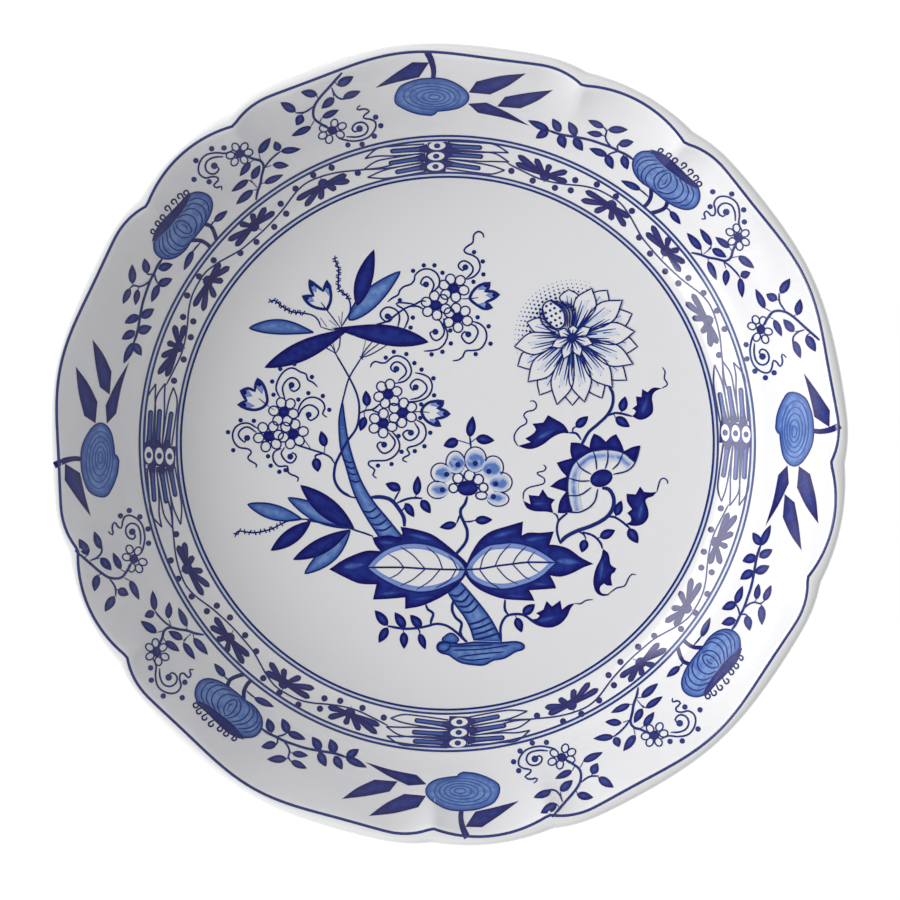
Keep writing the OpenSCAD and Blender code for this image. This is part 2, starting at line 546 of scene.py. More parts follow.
def fillsToMesh(name, outlines, lift):
    points, faces = [], []
    nearEdge = KDTree(sum(len(path) for path in outlines) * 2)
    for n, path in enumerate(outlines):
        faces.append(list(range(len(points), len(points) + len(path))))
        for k, (x, y) in enumerate(path):
            points.append((x, y, lift - layerStep * (n % 4)))
            after = path[(k + 1) % len(path)]
            nearEdge.insert((x, y, 0), len(points))
            nearEdge.insert(((x + after[0]) / 2, (y + after[1]) / 2, 0), len(points))
    nearEdge.balance()
    item = newMeshObject(name, points, [], faces)
    shape = bmesh.new()
    shape.from_mesh(item.data)
    bmesh.ops.triangulate(shape, faces=shape.faces[:])
    for tries in range(7):
        long = [edge for edge in shape.edges if edge.calc_length() > longestEdge]
        if not long:
            break
        bmesh.ops.subdivide_edges(shape, edges=long, cuts=1)
        bmesh.ops.triangulate(shape, faces=shape.faces[:])
    for face in shape.faces:
        face.normal_update()
        if face.normal.z < 0:
            face.normal_flip()
    shape.to_mesh(item.data)
    shape.free()
    depths = [nearEdge.find((v.co.x, v.co.y, 0))[2] for v in item.data.vertices]
    return item, depths


def drawingToMesh(name, art, nib, raised=0):
    made = []
    for ink, (material, lift) in inks.items():
        for kind, builder in (("fills", fillsToMesh), ("strokes", strokesToMesh)):
            marks = art[kind][ink]
            if not marks:
                continue
            if kind == "fills":
                item, depths = builder(name + "_" + ink, marks, lift + raised - fillDrop)
            else:
                item, depths = builder(name + "_" + ink, marks, lift + raised, nib)
            item.data.materials.clear()
            item.data.materials.append(material)
            depth = item.data.attributes.new("depth", 'FLOAT', 'POINT')
            depth.data.foreach_set('value', depths)
            made.append(item)
    pickOnly(*made)
    if len(made) > 1:
        bpy.ops.object.join()
    whole = bpy.context.view_layer.objects.active
    whole.name = name
    return whole


def layOnGlaze(item, shift=(0, 0)):
    # move every point of a flat drawing down its sight line onto the bowl's inside
    for vertex in item.data.vertices:
        x, y, lift = vertex.co
        aim = Vector(((x + shift[0]) * mm, (y + shift[1]) * mm, rimPlane)) - eye
        found, place, normal, _ = bowl.ray_cast(eye, aim.normalized())
        if not found:
            raise RuntimeError("a brush mark of " + item.name + " misses the bowl")
        vertex.co = place + normal * lift * mm
    item.data.update()
    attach(item, "root")


def copyTurned(item, name, angle):
    pickOnly(item)
    bpy.ops.object.duplicate(linked=False)
    copy = bpy.context.view_layer.objects.active
    copy.name = name
    bpy.ops.object.mode_set(mode='EDIT')
    bpy.ops.mesh.select_all(action='SELECT')
    bpy.ops.transform.rotate(value=math.radians(-angle), orient_axis='Z', center_override=(0, 0, 0))
    bpy.ops.object.mode_set(mode='OBJECT')
    return copy


def layFourTimes(item, shift=(0, 0)):
    # the border and the band repeat every quarter turn
    copies = [copyTurned(item, item.name + "_" + str(k + 1), 90 * k) for k in range(1, 4)]
    for piece in [item] + copies:
        layOnGlaze(piece, shift)
        print("laid", piece.name, len(piece.data.polygons), "faces")


nib = makeNib()


ringLines = {
    "radii": (95.45, 94.15, 83.95, 82.65), "width": 0.68,
    "washes": (94.8, 83.3), "washWidth": 1.3,
    "rimR": 122.4, "rimWidth": 0.85, "rimFollow": 0.9, "rimSteps": 450,
}


def circleLine(art, radius, width, ink):
    count = 360
    line = []
    for k in range(count + 1):
        a = math.tau * k / count
        line.append((radius * math.cos(a), radius * math.sin(a), width / 2))
    art["strokes"][ink].append(line)


def paintLines(s):
    art = newDrawing()
    for radius in s["washes"]:
        circleLine(art, radius, s["washWidth"], "haze")
    for radius in s["radii"]:
        circleLine(art, radius, s["width"], "line")
    layOnGlaze(drawingToMesh("ring_lines", art, nib))
    art = newDrawing()
    rim = []
    for k in range(s["rimSteps"] + 1):
        angle = 360 / s["rimSteps"] * k
        r = s["rimR"] - s["rimFollow"] * rimInset(angle, bowlSize)
        a = math.radians(angle)
        rim.append((r * math.cos(a), r * math.sin(a), s["rimWidth"] / 2))
    art["strokes"]["line"].append(rim)
    layOnGlaze(drawingToMesh("rim_line", art, nib))


paintLines(ringLines)
print("rim line and ring lines painted")


# An outline is one soft run of points, or several runs that meet at sharp corners.
# A leaf is its base, its tip and its width; some also have a bow and a belly.

# the border on the wall: fruit, poppy head and daisy sprigs, repeated every quarter turn
fruit = {
    "stem": [(-6.2, 121.9), (-4.8, 118.8), (-4.2, 115.7), (-4.4, 113.4)],
    "stemWidth": (2.1, 1.4), "edge": 0.42,
    "outline": [
        [(-5.1, 101.9), (-9.2, 102.4), (-13.8, 104.2), (-16.2, 106.3), (-14.9, 110.6),
         (-11.3, 112.6), (-7.2, 113.5), (-1, 113.4), (3.6, 111.4), (6.4, 108.8), (6.4, 106.5),
         (4.1, 104.5), (0.5, 103.6), (-3.1, 103.2)], [(-3.8, 102.4), (-5.1, 101.9)],
    ],
    "centre": (-5, 108), "half": (10.6, 5), "turn": -2, "rings": 6, "ringWidth": 0.36,
    "ringDrift": (1.2, -0.4), "flatten": 0.1,
    "kites": [
        [[(-10.8, 118.7), (-16.5, 114.9), (-22.3, 110.6)], [(-15, 112.5), (-8.7, 113.9)],
         [(-5.6, 118.6)], [(-10.8, 118.7)]],
        [[(9, 112.6), (16.5, 114.4), (24.4, 115.2)], [(19, 111.3), (13.3, 108.5)], [(6.6, 109.1)],
         [(9, 112.6)]],
        [[(17.9, 107.8), (25, 109.1), (32.8, 110)], [(28, 106.6), (22.6, 104.1)], [(15.4, 104.7)],
         [(17.9, 107.8)]],
        [[(12.1, 106), (18.6, 102.9), (25.5, 98.7)], [(17.5, 101.1), (9.5, 102.7)], [(6.4, 105.6)],
         [(12.1, 106)]],
    ],
}
branch = {
    "stem": [
        (31.3, 97.3), (34.9, 96.1), (40, 95.2), (44, 94.4), (48, 93.1), (51, 92), (53.5, 90.7),
        (55.5, 89.8), (57.8, 88.2),
    ],
    "twigs": [
        [(51, 92), (49.4, 94), (49, 95.7), (49.4, 97.2), (48.4, 98.5)], [(49.2, 95.2), (48, 96)],
        [(49.4, 97.2), (50.4, 98)], [(53, 90.9), (52.7, 92.4), (53.3, 93.4)],
        [(53.2, 90.8), (51.2, 90.4), (49.6, 89.6)], [(54.6, 90.2), (54.7, 89.4)],
    ],
    "leaves": [
        ((31.6, 97.4), (25, 100.4), 2.4), ((35.1, 96.8), (32.6, 101), 2.8),
        ((40, 95.6), (37.6, 100.1), 2.8), ((31.4, 97.3), (27.4, 94.8), 2.7),
        ((34.8, 96), (36.4, 91.6), 3.1), ((39.2, 95), (42, 90.9), 2.9),
        ((48.6, 98.3), (43.6, 100.6), 2.2), ((49.8, 97.6), (56, 97.7), 2.5),
        ((48.2, 95.9), (43.2, 96.7), 2.1), ((53, 93), (57.8, 93.9), 2.6),
        ((49.6, 89.5), (44, 91.7), 2.4), ((49.3, 89.8), (51.3, 85.2), 2.8),
        ((54.4, 89.6), (55.8, 85.1), 2.8),
    ],
}
poppy = {
    "edge": 0.5, "ribWidth": 0.42, "stemWidth": 1.25, "twigWidth": 0.55, "hookSize": 0.75,
    "hookWidth": 0.55, "hookTurn": 150, "hookFoot": (1.2, 1.3),
    "outline": [
        [(62.8, 91), (60, 90.7), (58.3, 89.4), (57.5, 87.5), (57.6, 85.3), (58.7, 83), (60.5, 81),
         (62.5, 79.7), (65, 77.6), (68, 75.3), (71, 73.6), (74, 72.8), (76.3, 73.3), (77.8, 75),
         (78.3, 77.5), (77.7, 79.9)], [(70.6, 85.6), (62.8, 91)],
    ],
    "ribs": [
        [(69, 84.3), (69.4, 82), (68, 80), (66.1, 79.3), (65.3, 80.3), (66, 82.3), (67.6, 83.9),
         (69, 84.3)], [(68.3, 85), (65.9, 84.4), (64.4, 82.8), (64.1, 80.7), (65, 79)],
        [(67.2, 86.1), (64, 85.6), (62, 83.8), (61.4, 81.8), (62.4, 80.2)],
        [(66.1, 87.1), (62.8, 86.6), (60.7, 84.9), (60.1, 82.8), (61, 81.1)],
        [(64.9, 88.2), (61.5, 88), (59.4, 86.5), (58.9, 84.6), (59.4, 82.8)],
        [(63.7, 89.3), (60.8, 89.1), (58.9, 87.7), (58.2, 86)],
        [(70.3, 83.6), (71.3, 81.3), (70.7, 79), (68.7, 77.7), (66.5, 78), (65, 78.6)],
        [(72, 82.4), (73.2, 79.6), (72.2, 77.1), (69.6, 76), (67.2, 76.6)],
        [(73.8, 81.2), (74.8, 78.8), (74.1, 76.3), (72, 74.9), (69.6, 75)],
        [(75.5, 80.1), (76.4, 78), (75.9, 75.8), (74.3, 74.2), (72.2, 74)],
        [(68.2, 82.4), (67.6, 81), (66.6, 80.6)],
    ],
    "crown": [
        [(62.9, 91.6), (64.6, 91.2), (66.2, 90.6), (68, 89.6), (70, 87.9), (72.2, 85.8),
         (74.6, 83.4), (77, 81.3), (78.2, 80.2)],
        [(77.7, 79.6), (75.4, 80.3), (73.2, 81.6), (70.6, 83.6), (68, 85.6), (65.9, 87.6),
         (64.3, 89.5), (62.9, 91.6)],
    ],
    "curls": [
        (66.2, 91.1, 160), (68.7, 89.7, 140), (70.6, 88.2, 130), (73.4, 86.7, 125),
        (75.4, 84.7, 120), (77.1, 82.8, 115), (78.1, 80.9, 110),
    ],
    "stems": [
        [(63.2, 79.3), (63.1, 76.6), (62, 74.5), (60.8, 73.3)],
        [(68.3, 75.2), (67.5, 73.3), (65.5, 72.2), (63.3, 71.6)],
    ],
    "twigs": [
        [(59.2, 79.2), (60.6, 78.2), (62.4, 76.6)], [(67.6, 73.3), (68.7, 72.7), (69.3, 71.8)],
    ],
    "leaves": [((60, 78.8), (53.8, 81.7), 2.2), ((69, 72.3), (72.4, 68.1), 2.2)],
}


borderDaisy = {"hubSize": 1.485, "hubRatio": 0.95, "petalSize": 1.35, "ratio": 0.8, "edge": 0.46}
wellDaisy = {"hubSize": 1.755, "hubRatio": 0.95, "petalSize": 1.6, "ratio": 0.93, "edge": 0.46}


def daisy(art, hub, petals, s):
    # open petals drawn as small outlined ovals round a dark hub
    for petal in petals:
        turn = math.degrees(math.atan2(petal[1] - hub[1], petal[0] - hub[0]))
        loop(art, circlePoints(petal, s["petalSize"], 8, s["ratio"], turn), s["edge"])
    spot(art, hub, s["hubSize"], "dark", s["hubRatio"])


hanging = {
    "stem": [
        (-32.6, 115.5), (-36.7, 110.8), (-39.6, 107.5), (-41.3, 104.6), (-41.3, 101.3),
        (-39.2, 99.4), (-36.6, 97.9),
    ],
    "twigs": [
        [(-35.8, 110.8), (-35, 108.8), (-33.3, 107.3), (-30.8, 107.3)],
        [(-41.3, 105), (-44.2, 103.1), (-47.1, 102.9)], [(-34.8, 112.6), (-34.1, 111.6)],
        [(-39.8, 107.2), (-40.6, 108.4)], [(-44.5, 103.1), (-45.6, 101.6)],
        [(-41.3, 100.3), (-42.2, 98.7)], [(-35.4, 109.5), (-35.2, 107.9)],
        [(-39.7, 99.6), (-38.9, 101.2)],
    ],
    "hub": (-35.6, 97.3),
    "petals": [
        (-35, 99.5), (-32.6, 98.6), (-33.2, 96), (-36.6, 94.5), (-38.6, 95.7), (-38.3, 97.9),
    ],
    "eye": (-27.2, 97.8),
    "curls": [
        [(-31.3, 95.3), (-28, 95.2), (-25.3, 96.2), (-24.6, 98.2), (-26, 99.7), (-28.4, 99.4),
         (-29.5, 97.8), (-28.6, 96.8), (-27.5, 97.4)],
        [(-33.8, 94.9), (-32.3, 94.4), (-28.7, 93.9), (-24.6, 95), (-22.4, 97.6), (-22.3, 99.8),
         (-24.1, 100.8), (-26, 101.2), (-25.3, 102.4), (-24.2, 103.3), (-25.8, 104), (-28, 103.9),
         (-26.9, 105.2)],
    ],
    "dots": [(-22.2, 101.4), (-20.6, 98.7), (-22.6, 95.4), (-30.8, 92.7), (-26.4, 92.9)],
    "leaves": [
        ((-34.1, 111.4), (-29, 114.3), 2.9), ((-32.3, 107.6), (-26.8, 109.6), 2.4),
        ((-40.2, 108.6), (-45.4, 109.5), 2.6), ((-46.9, 103.3), (-51.7, 106.3), 2.8),
        ((-44.9, 102.3), (-46.7, 98.9), 2.8), ((-42.1, 98.5), (-48.3, 95.6), 2.3),
        ((-35, 107.6), (-39, 104.2), 2.7), ((-38.8, 101.3), (-33.5, 103.8), 2.2),
    ],
}
rising = {
    "stem": [
        (-59.3, 75.6), (-58.8, 78.3), (-57.9, 80.8), (-57.5, 83.3), (-56.9, 86.3), (-57.9, 87.9),
        (-60, 88.5), (-63.2, 90),
    ],
    "twigs": [
        [(-56.9, 85.4), (-55.4, 87.5), (-53.3, 89.6), (-51.7, 90.8)], [(-61, 82), (-59, 79.6)],
        [(-57.8, 87.8), (-58.3, 90)], [(-59.9, 88.3), (-61.4, 87.3)], [(-58.6, 79), (-60.6, 78.6)],
        [(-57.9, 80.8), (-56.9, 80.9)], [(-56.9, 85.6), (-54.6, 86.4)],
        [(-59.7, 80.6), (-61.6, 81.9)],
    ],
    "hub": (-64.4, 90.2),
    "petals": [
        (-65.6, 92.3), (-62.9, 92.4), (-61.6, 90.6), (-63, 88.3), (-65.9, 87.7), (-67.2, 89.7),
    ],
    "eye": (-72.2, 86.5),
    "curls": [
        [(-69.4, 89.3), (-72, 89.2), (-74.3, 88.1), (-75, 86), (-74, 84.3), (-72, 84),
         (-70.8, 85.4), (-71.6, 86.5)],
        [(-66.4, 91.4), (-68.6, 90.4), (-71.7, 90.6), (-75, 89.8), (-76.9, 87.1), (-76.9, 84.2),
         (-75, 82.7), (-72.9, 83.1), (-71.2, 82.8), (-71.1, 81.7), (-72.4, 80.4), (-71.4, 79.6),
         (-70, 80), (-70, 78.8)],
    ],
    "dots": [(-73, 91.9), (-69.2, 92.1), (-77.9, 88.2), (-78.5, 82.3), (-73.8, 81.5)],
    "leaves": [
        ((-51.7, 90.8), (-45.4, 91.5), 2.2), ((-52.1, 90.9), (-53.4, 94), 2.6),
        ((-58.5, 90.2), (-54.7, 95.2), 2.6), ((-54.2, 86.6), (-49, 86.3), 2.3),
        ((-56.8, 80.8), (-50.8, 83.5), 2.2), ((-61, 87.6), (-64.3, 83.1), 2.3),
        ((-60.6, 82.1), (-58, 86.6), 2.5), ((-61.6, 82), (-66.9, 78.3), 2.2),
        ((-60.2, 78.8), (-65.5, 74.3), 2.5),
    ],
}


def paintFruit(art, s):
    fill(art, s["outline"], "mid", outline=s["edge"])
    for k in range(1, s["rings"]):
        share = k / s["rings"]
        x, y = [c + drift * (1 - share) for c, drift in zip(s["centre"], s["ringDrift"])]
        ratio = s["half"][1] / s["half"][0] * (1 - s["flatten"] * (1 - share))
        ring = circlePoints((x, y), s["half"][0] * share, 14, ratio, s["turn"])
        loop(art, ring, s["ringWidth"], "overlay")
    stroke(art, s["stem"], s["stemWidth"], "dark", (1, 1))
    for kite in s["kites"]:
        fill(art, kite)


def paintPoppy(art, s):
    fill(art, s["outline"], "mid", outline=s["edge"])
    for rib in s["ribs"]:
        stroke(art, rib, s["ribWidth"])
    fill(art, s["crown"])
    for x, y, turn in s["curls"]:
        foot = (x - s["hookFoot"][0], y - s["hookFoot"][1])
        hook = circlePoints((x, y), s["hookSize"], 8, 1, turn - s["hookTurn"])[:6]
        stroke(art, [foot] + hook, s["hookWidth"], "dark")
    for stem in s["stems"]:
        stroke(art, stem, s["stemWidth"], "dark", (1, 1))
    for twig in s["twigs"]:
        stroke(art, twig, s["twigWidth"])
    leaves(art, s["leaves"])


sprigBrush = {"stem": 0.8, "twig": 0.6, "curl": 0.58, "eye": 1.05, "dot": 0.85}


def paintSprig(art, s):
    stroke(art, s["stem"], sprigBrush["stem"])
    for twig in s["twigs"]:
        stroke(art, twig, sprigBrush["twig"])
    if "hub" in s:
        daisy(art, s["hub"], s["petals"], borderDaisy)
        for curl in s["curls"]:
            stroke(art, curl, sprigBrush["curl"])
        spot(art, s["eye"], sprigBrush["eye"])
        spots(art, s["dots"], sprigBrush["dot"])
    leaves(art, s["leaves"])


def paintBorder():
    art = newDrawing()
    paintFruit(art, fruit)
    paintPoppy(art, poppy)
    for sprig in (branch, hanging, rising):
        paintSprig(art, sprig)
    layFourTimes(drawingToMesh("border", art, nib))


paintBorder()
print("border painted")


# the sloping band: panels, a vine and asters, repeated every quarter turn
panel = {
    "eyes": [(-3.2, 92.7), (-3.5, 89.45), (-3.7, 86.2)],
    "rightBars": [((0.3, 92.6), (10, 92.1)), ((0.3, 90), (10.3, 89.3)), ((0.3, 87), (9.5, 85.7))],
    "leftBars": [
        ((-7.5, 91.7), (-17, 91)), ((-8, 88.8), (-17.5, 87.3)), ((-7.5, 86), (-15.5, 84.5)),
    ],
    "rightTips": [(18.9, 90.5), (19, 87.6), (17.7, 85)],
    "leftTips": [(-25.6, 88.7), (-25.9, 85.3), (-24.8, 82.8)],
    "halfBlock": 3.4, "slant": 0.35, "outer": 93.9, "inner": 84.3, "eyeSize": 2.6, "eyeRatio": 0.5,
    "eyeTurn": 2.5, "pupil": 1, "sheath": 1.5, "shoulder": 4.6, "shoulderHalf": 1.2, "bar": 0.78,
    "barFoot": 0.9, "barEnd": 0.8, "barFlare": 0.7, "gleam": 0.36, "gleamFoot": 1.6,
    "gleamEnd": 0.2,
    "blockFoot": -4, "blockMiddle": (-3.4, 89), "blockTop": -3, "blockDrop": 0.2,
    "pupilRatio": 0.8, "startGap": 0.4, "edge": 0.5,
}
vine = {
    "width": 0.52, "dot": 1,
    "polar": [
        (100.5, 88.5), (103.5, 88.3), (106.9, 89.1), (112.6, 91.2), (117.5, 92.2), (120.5, 91.5),
        (125.2, 88.9), (130.2, 87.6), (133.6, 87.6), (136.8, 88.1), (139.5, 89.5), (141.8, 90.9),
        (144.5, 92.1), (147.1, 92.1), (149.7, 91.7), (152.4, 90.5), (154.9, 89), (157.6, 87.8),
        (161, 87.2), (164.5, 87.9), (168, 89.2),
    ],
    "dots": [
        (-27.8, 84.2), (-35.9, 85.9), (-47.1, 79.4), (-51.7, 74.7), (-50, 71.6), (-53.7, 67.5),
        (-59.2, 62.8), (-64.2, 59.4), (-72.5, 57.2), (-77, 52.2), (-80.7, 46.3), (-82, 39.6),
        (-78.8, 38.2), (-79.6, 33.3), (-81.8, 26.4), (-84.8, 19.8), (-41.6, 83.6),
    ],
}
asters = [
    {"hub": (-38.5, 80.8), "join": (-39.4, 82.9),
     "tips": [(-31.2, 83.7), (-30.2, 81.7), (-34.4, 79), (-39.4, 75.8), (-44.2, 73.8),
              (-46.9, 75.8)]},
    {"hub": (-60, 67.7), "join": (-57.6, 66.5),
     "tips": [(-56.3, 73.7), (-53.5, 72.3), (-60.4, 71.9), (-64.6, 68.6), (-68.1, 63.3),
              (-65.8, 61.5)]},
    {"hub": (-74.2, 50.8), "join": (-76.4, 51.4),
     "tips": [(-67.5, 55.2), (-70.4, 56.4), (-69.4, 50.8), (-72.1, 45.4), (-75.8, 41.3),
              (-78.7, 42.7)]},
    {"hub": (-83.4, 30.3), "join": (-81.3, 29.9),
     "tips": [(-89.8, 21.8), (-87.3, 21), (-88.8, 27.2), (-87, 31.8), (-84.7, 37.2),
              (-81.4, 37.2)]},
]


def roundedBar(art, start, end, half, ink, flare=0):
    # a straight bar with a round end, its foot spreading by the flare
    along = end - start
    made = []
    for k in range(17):
        t = math.sin(math.pi / 2 * k / 16)
        left = (1 - t) * along.length
        wide = half if left >= half else math.sqrt(max(0.001, half ** 2 - (half - left) ** 2))
        made.append((start.x + along.x * t, start.y + along.y * t, wide + flare * (1 - t) ** 6))
    art["strokes"][ink].append(made)


def paintPanel(art, s):
    outer, inner = s["outer"], s["inner"]
    wide, slant = s["halfBlock"], s["slant"]
    foot, (middle, height), top = s["blockFoot"], s["blockMiddle"], s["blockTop"] + slant
    drop = s["blockDrop"]
    left = [(foot - wide, inner + drop), (middle - wide, height), (top - wide, outer - drop)]
    right = [(top + wide, outer), (middle + wide, height), (foot + wide, inner)]
    fill(art, [[left[-1], right[0]], right, [right[-1], left[0]], left])
    for bead in s["eyes"]:
        white = circlePoints(bead, s["eyeSize"], 12, s["eyeRatio"], s["eyeTurn"])
        flatFill(art, smoothPath(white, 0.9, closed=True), "white")
        spot(art, bead, s["pupil"], "top", s["pupilRatio"], s["eyeTurn"])
    for bars, tips in ((s["rightBars"], s["rightTips"]), (s["leftBars"], s["leftTips"])):
        for (a, b), tip in zip(bars, tips):
            along = (Vector(b) - Vector(a)).normalized()
            side = Vector((-along.y, along.x))
            start, end, point = Vector(a) - along * s["startGap"], Vector(b), Vector(tip)
            shoulder = end + along * s["shoulder"]
            for sign in (1, -1):
                sheath = side * s["sheath"] * sign
                edge = [tuple(start + sheath), tuple(end + sheath),
                        tuple(shoulder + side * s["shoulderHalf"] * sign), tuple(point)]
                stroke(art, edge, s["edge"], "line", (1, 1))
            foot, head = start - along * s["barFoot"], end + along * s["barEnd"]
            roundedBar(art, foot, head, s["bar"], "dark", s["barFlare"])
            foot, head = start + along * s["gleamFoot"], end + along * s["gleamEnd"]
            roundedBar(art, foot, head, s["gleam"], "overlay")


asterBrush = {
    "half": 0.98, "root": 0.35, "heart": (0.45, 0.9), "heartFrom": 5, "hub": 1.7, "join": 0.5,
}


def paintAster(art, s):
    hub = Vector(s["hub"])
    root = asterBrush["root"]
    for tip in s["tips"]:
        along = Vector(tip) - hub
        count = max(8, round(along.length / 0.6))
        made = []
        for k in range(count + 1):
            t = k / count
            swell = root + (1 - root) * min(1, t * 1.5)
            wide = asterBrush["half"] * swell * min(1, math.sqrt(max(0, 1 - t) * 6) + 0.05)
            made.append((hub.x + along.x * t, hub.y + along.y * t, wide))
        art["strokes"]["dark"].append(made)
        start, end = [hub + along * share for share in asterBrush["heart"]]
        if along.length > asterBrush["heartFrom"]:
            turn = math.degrees(math.atan2(along.y, along.x))
            spot(art, tuple((start + end) / 2), (end - start).length / 2, "glow", 0.1, turn)
    spot(art, tuple(hub), asterBrush["hub"], "dark", 1)
    stroke(art, [tuple(hub), s["join"]], asterBrush["join"])


bandShift = (0.06, -0.31)


def paintBand():
    art = newDrawing()
    paintPanel(art, panel)
    line = [(r * math.cos(math.radians(a)), r * math.sin(math.radians(a))) for a, r in vine["polar"]]
    stroke(art, line, vine["width"])
    spots(art, vine["dots"], vine["dot"], "dark")
    for aster in asters:
        paintAster(art, aster)
    layFourTimes(drawingToMesh("band", art, nib), bandShift)


paintBand()
print("band painted")


curlBrush = {"curl": 0.56, "eye": 0.95, "dot": 0.7, "stem": 0.6, "vein": 0.35}
budBrush = {"edge": 0.92, "pale": 2.4, "dark": 1.7}


def openTulip(art, outline, tips, s):
    # a tulip in outline, each of its tips filled in
    trace(art, cornered(outline), s["edge"])
    for tip, root in tips:
        leaf(art, root, tip, s["pale"], "pale", belly=0.6)
        leaf(art, Vector(root).lerp(Vector(tip), 0.5), tip, s["dark"], "dark", belly=0.5)


def curlGroup(art, s):
    # daisies, their curls with dots along the outside, and a tulip bud
    for hub, petals in s["daisies"]:
        daisy(art, hub, petals, wellDaisy)
    for curl in s["curls"]:
        stroke(art, curl, curlBrush["curl"])
    for centre in s["eyes"]:
        spot(art, centre, curlBrush["eye"])
    spots(art, s["dots"], curlBrush["dot"])
    for stem in s["stems"]:
        stroke(art, stem, curlBrush["stem"])
    leaves(art, s.get("leaves", []))
    openTulip(art, s["tulip"], s["tulipTips"], budBrush)
    for vein in s["veins"]:
        stroke(art, vein, curlBrush["vein"])


topDaisies = {
    "daisies": [
        ((1.9, 48.5), [(1, 51.3), (4, 50.9), (5.1, 47.9), (2.6, 45.8), (-0.5, 46.6), (-1, 49.5)]),
        ((-3.5, 43.2),
         [(-4, 46.1), (-1.4, 45), (-0.5, 42.1), (-3.2, 40.2), (-6.1, 41.3), (-6.5, 44.2)]),
        ((3.2, 39.4),
         [(2.7, 42.3), (5.5, 41.4), (6.2, 38.4), (3.3, 36.4), (0.4, 37.9), (0.6, 40.9)]),
    ],
    "eyes": [(-6.6, 49.7), (-18.5, 39.8), (5.6, 55), (-3.7, 35), (6.5, 34.2)],
    "curls": [
        [(-6.8, 49.2), (-8.3, 50), (-6.5, 52.1), (-4.2, 49.8), (-5.4, 46.5)],
        [(-5, 47), (-2.5, 49.5), (-3, 52.7), (-5.4, 54.4), (-8, 54.2), (-10, 52.5), (-10.2, 51.2),
         (-11.2, 49.8), (-13.5, 49), (-14.8, 47.7), (-15.2, 46.5), (-17, 45.5), (-18.5, 44.3)],
        [(-10.4, 43.6), (-14, 44), (-15.8, 43.7), (-13.5, 42), (-12.1, 39.6), (-12.7, 37.3),
         (-13.6, 35.6)],
        [(-18, 40.1), (-17.1, 39.2), (-18.8, 38.1), (-20.8, 40.4), (-18.8, 42.6), (-15.8, 41.7),
         (-14.8, 39.6), (-15.4, 36.3)],
        [(5.6, 54.8), (4.8, 54), (3.4, 55.6), (5.4, 57), (8, 54.4), (5.6, 51.2)],
        [(6, 51.2), (8.5, 52.3), (10.1, 54.6), (9.6, 57.3), (7.9, 58.7), (5.8, 59.4), (5.2, 60.4),
         (6.5, 61.7), (7.9, 62.7), (8.2, 65), (9.6, 66.1), (11, 65.4), (11.3, 64.2)],
        [(-4, 35.2), (-5.4, 34.6), (-3.5, 32.3), (-1, 34.6), (-1.9, 37.9), (-3.1, 39)],
        [(-1.2, 39.2), (-0.6, 36.5), (0.1, 34.2), (-0.8, 31.5), (-2.5, 29.8), (-4.8, 29.2),
         (-7.3, 29)],
        [(6.4, 34.6), (5.4, 35), (4.4, 33.5), (6.9, 31.4), (9.5, 34.6), (8.5, 36.9), (6.7, 37.3)],
        [(7.5, 38.3), (10, 37.5), (11.7, 35.8), (12.2, 33.5), (11.5, 31.2), (10, 29.6), (7.7, 29.2),
         (5.6, 29), (4.8, 27.3), (3.5, 26.3), (1.7, 26)],
    ],
    "dots": [
        (-7.3, 55.6), (-4, 55.6), (-10.6, 53.9), (-1.5, 53.3), (-14.7, 44.8), (-10.7, 39.4),
        (-11.4, 36.3), (8.3, 59.7), (11, 56.8), (11.2, 52.8), (8.1, 50.5), (0.9, 35.4), (1.1, 31.4),
        (-1.5, 28.8), (-4.9, 28), (9.4, 39.5), (12.8, 36.7), (13.4, 31.3), (8.8, 28.1),
    ],
    "stems": [
        [(-24, 36.2), (-21.7, 37.3), (-18.5, 38.3), (-15.8, 40.4), (-13, 42.3), (-10, 43.5),
         (-8, 44.6), (-6.6, 44.4)], [(-11.9, 42.8), (-9.2, 42.9), (-7.3, 41.9)],
    ],
    "tulip": [
        [(6.9, 45.4), (7.9, 47.5), (10, 49.4), (13.1, 50.2)], [(12.7, 48.5), (11.7, 47.5)],
        [(14.2, 47.5), (16, 46.5)], [(14.2, 45.2), (11.9, 44.2)], [(13.8, 42.5)],
        [(11.5, 42.1), (9.2, 43.3), (7.5, 44.6), (6.9, 45.4)],
    ],
    "tulipTips": [
        ((13.1, 50.1), (9.4, 48)), ((15.9, 46.5), (11.8, 46.3)), ((13.7, 42.6), (9.6, 43.6)),
    ],
    "veins": [[(4.2, 45.2), (7, 45.3), (9.6, 45.6)]],
}
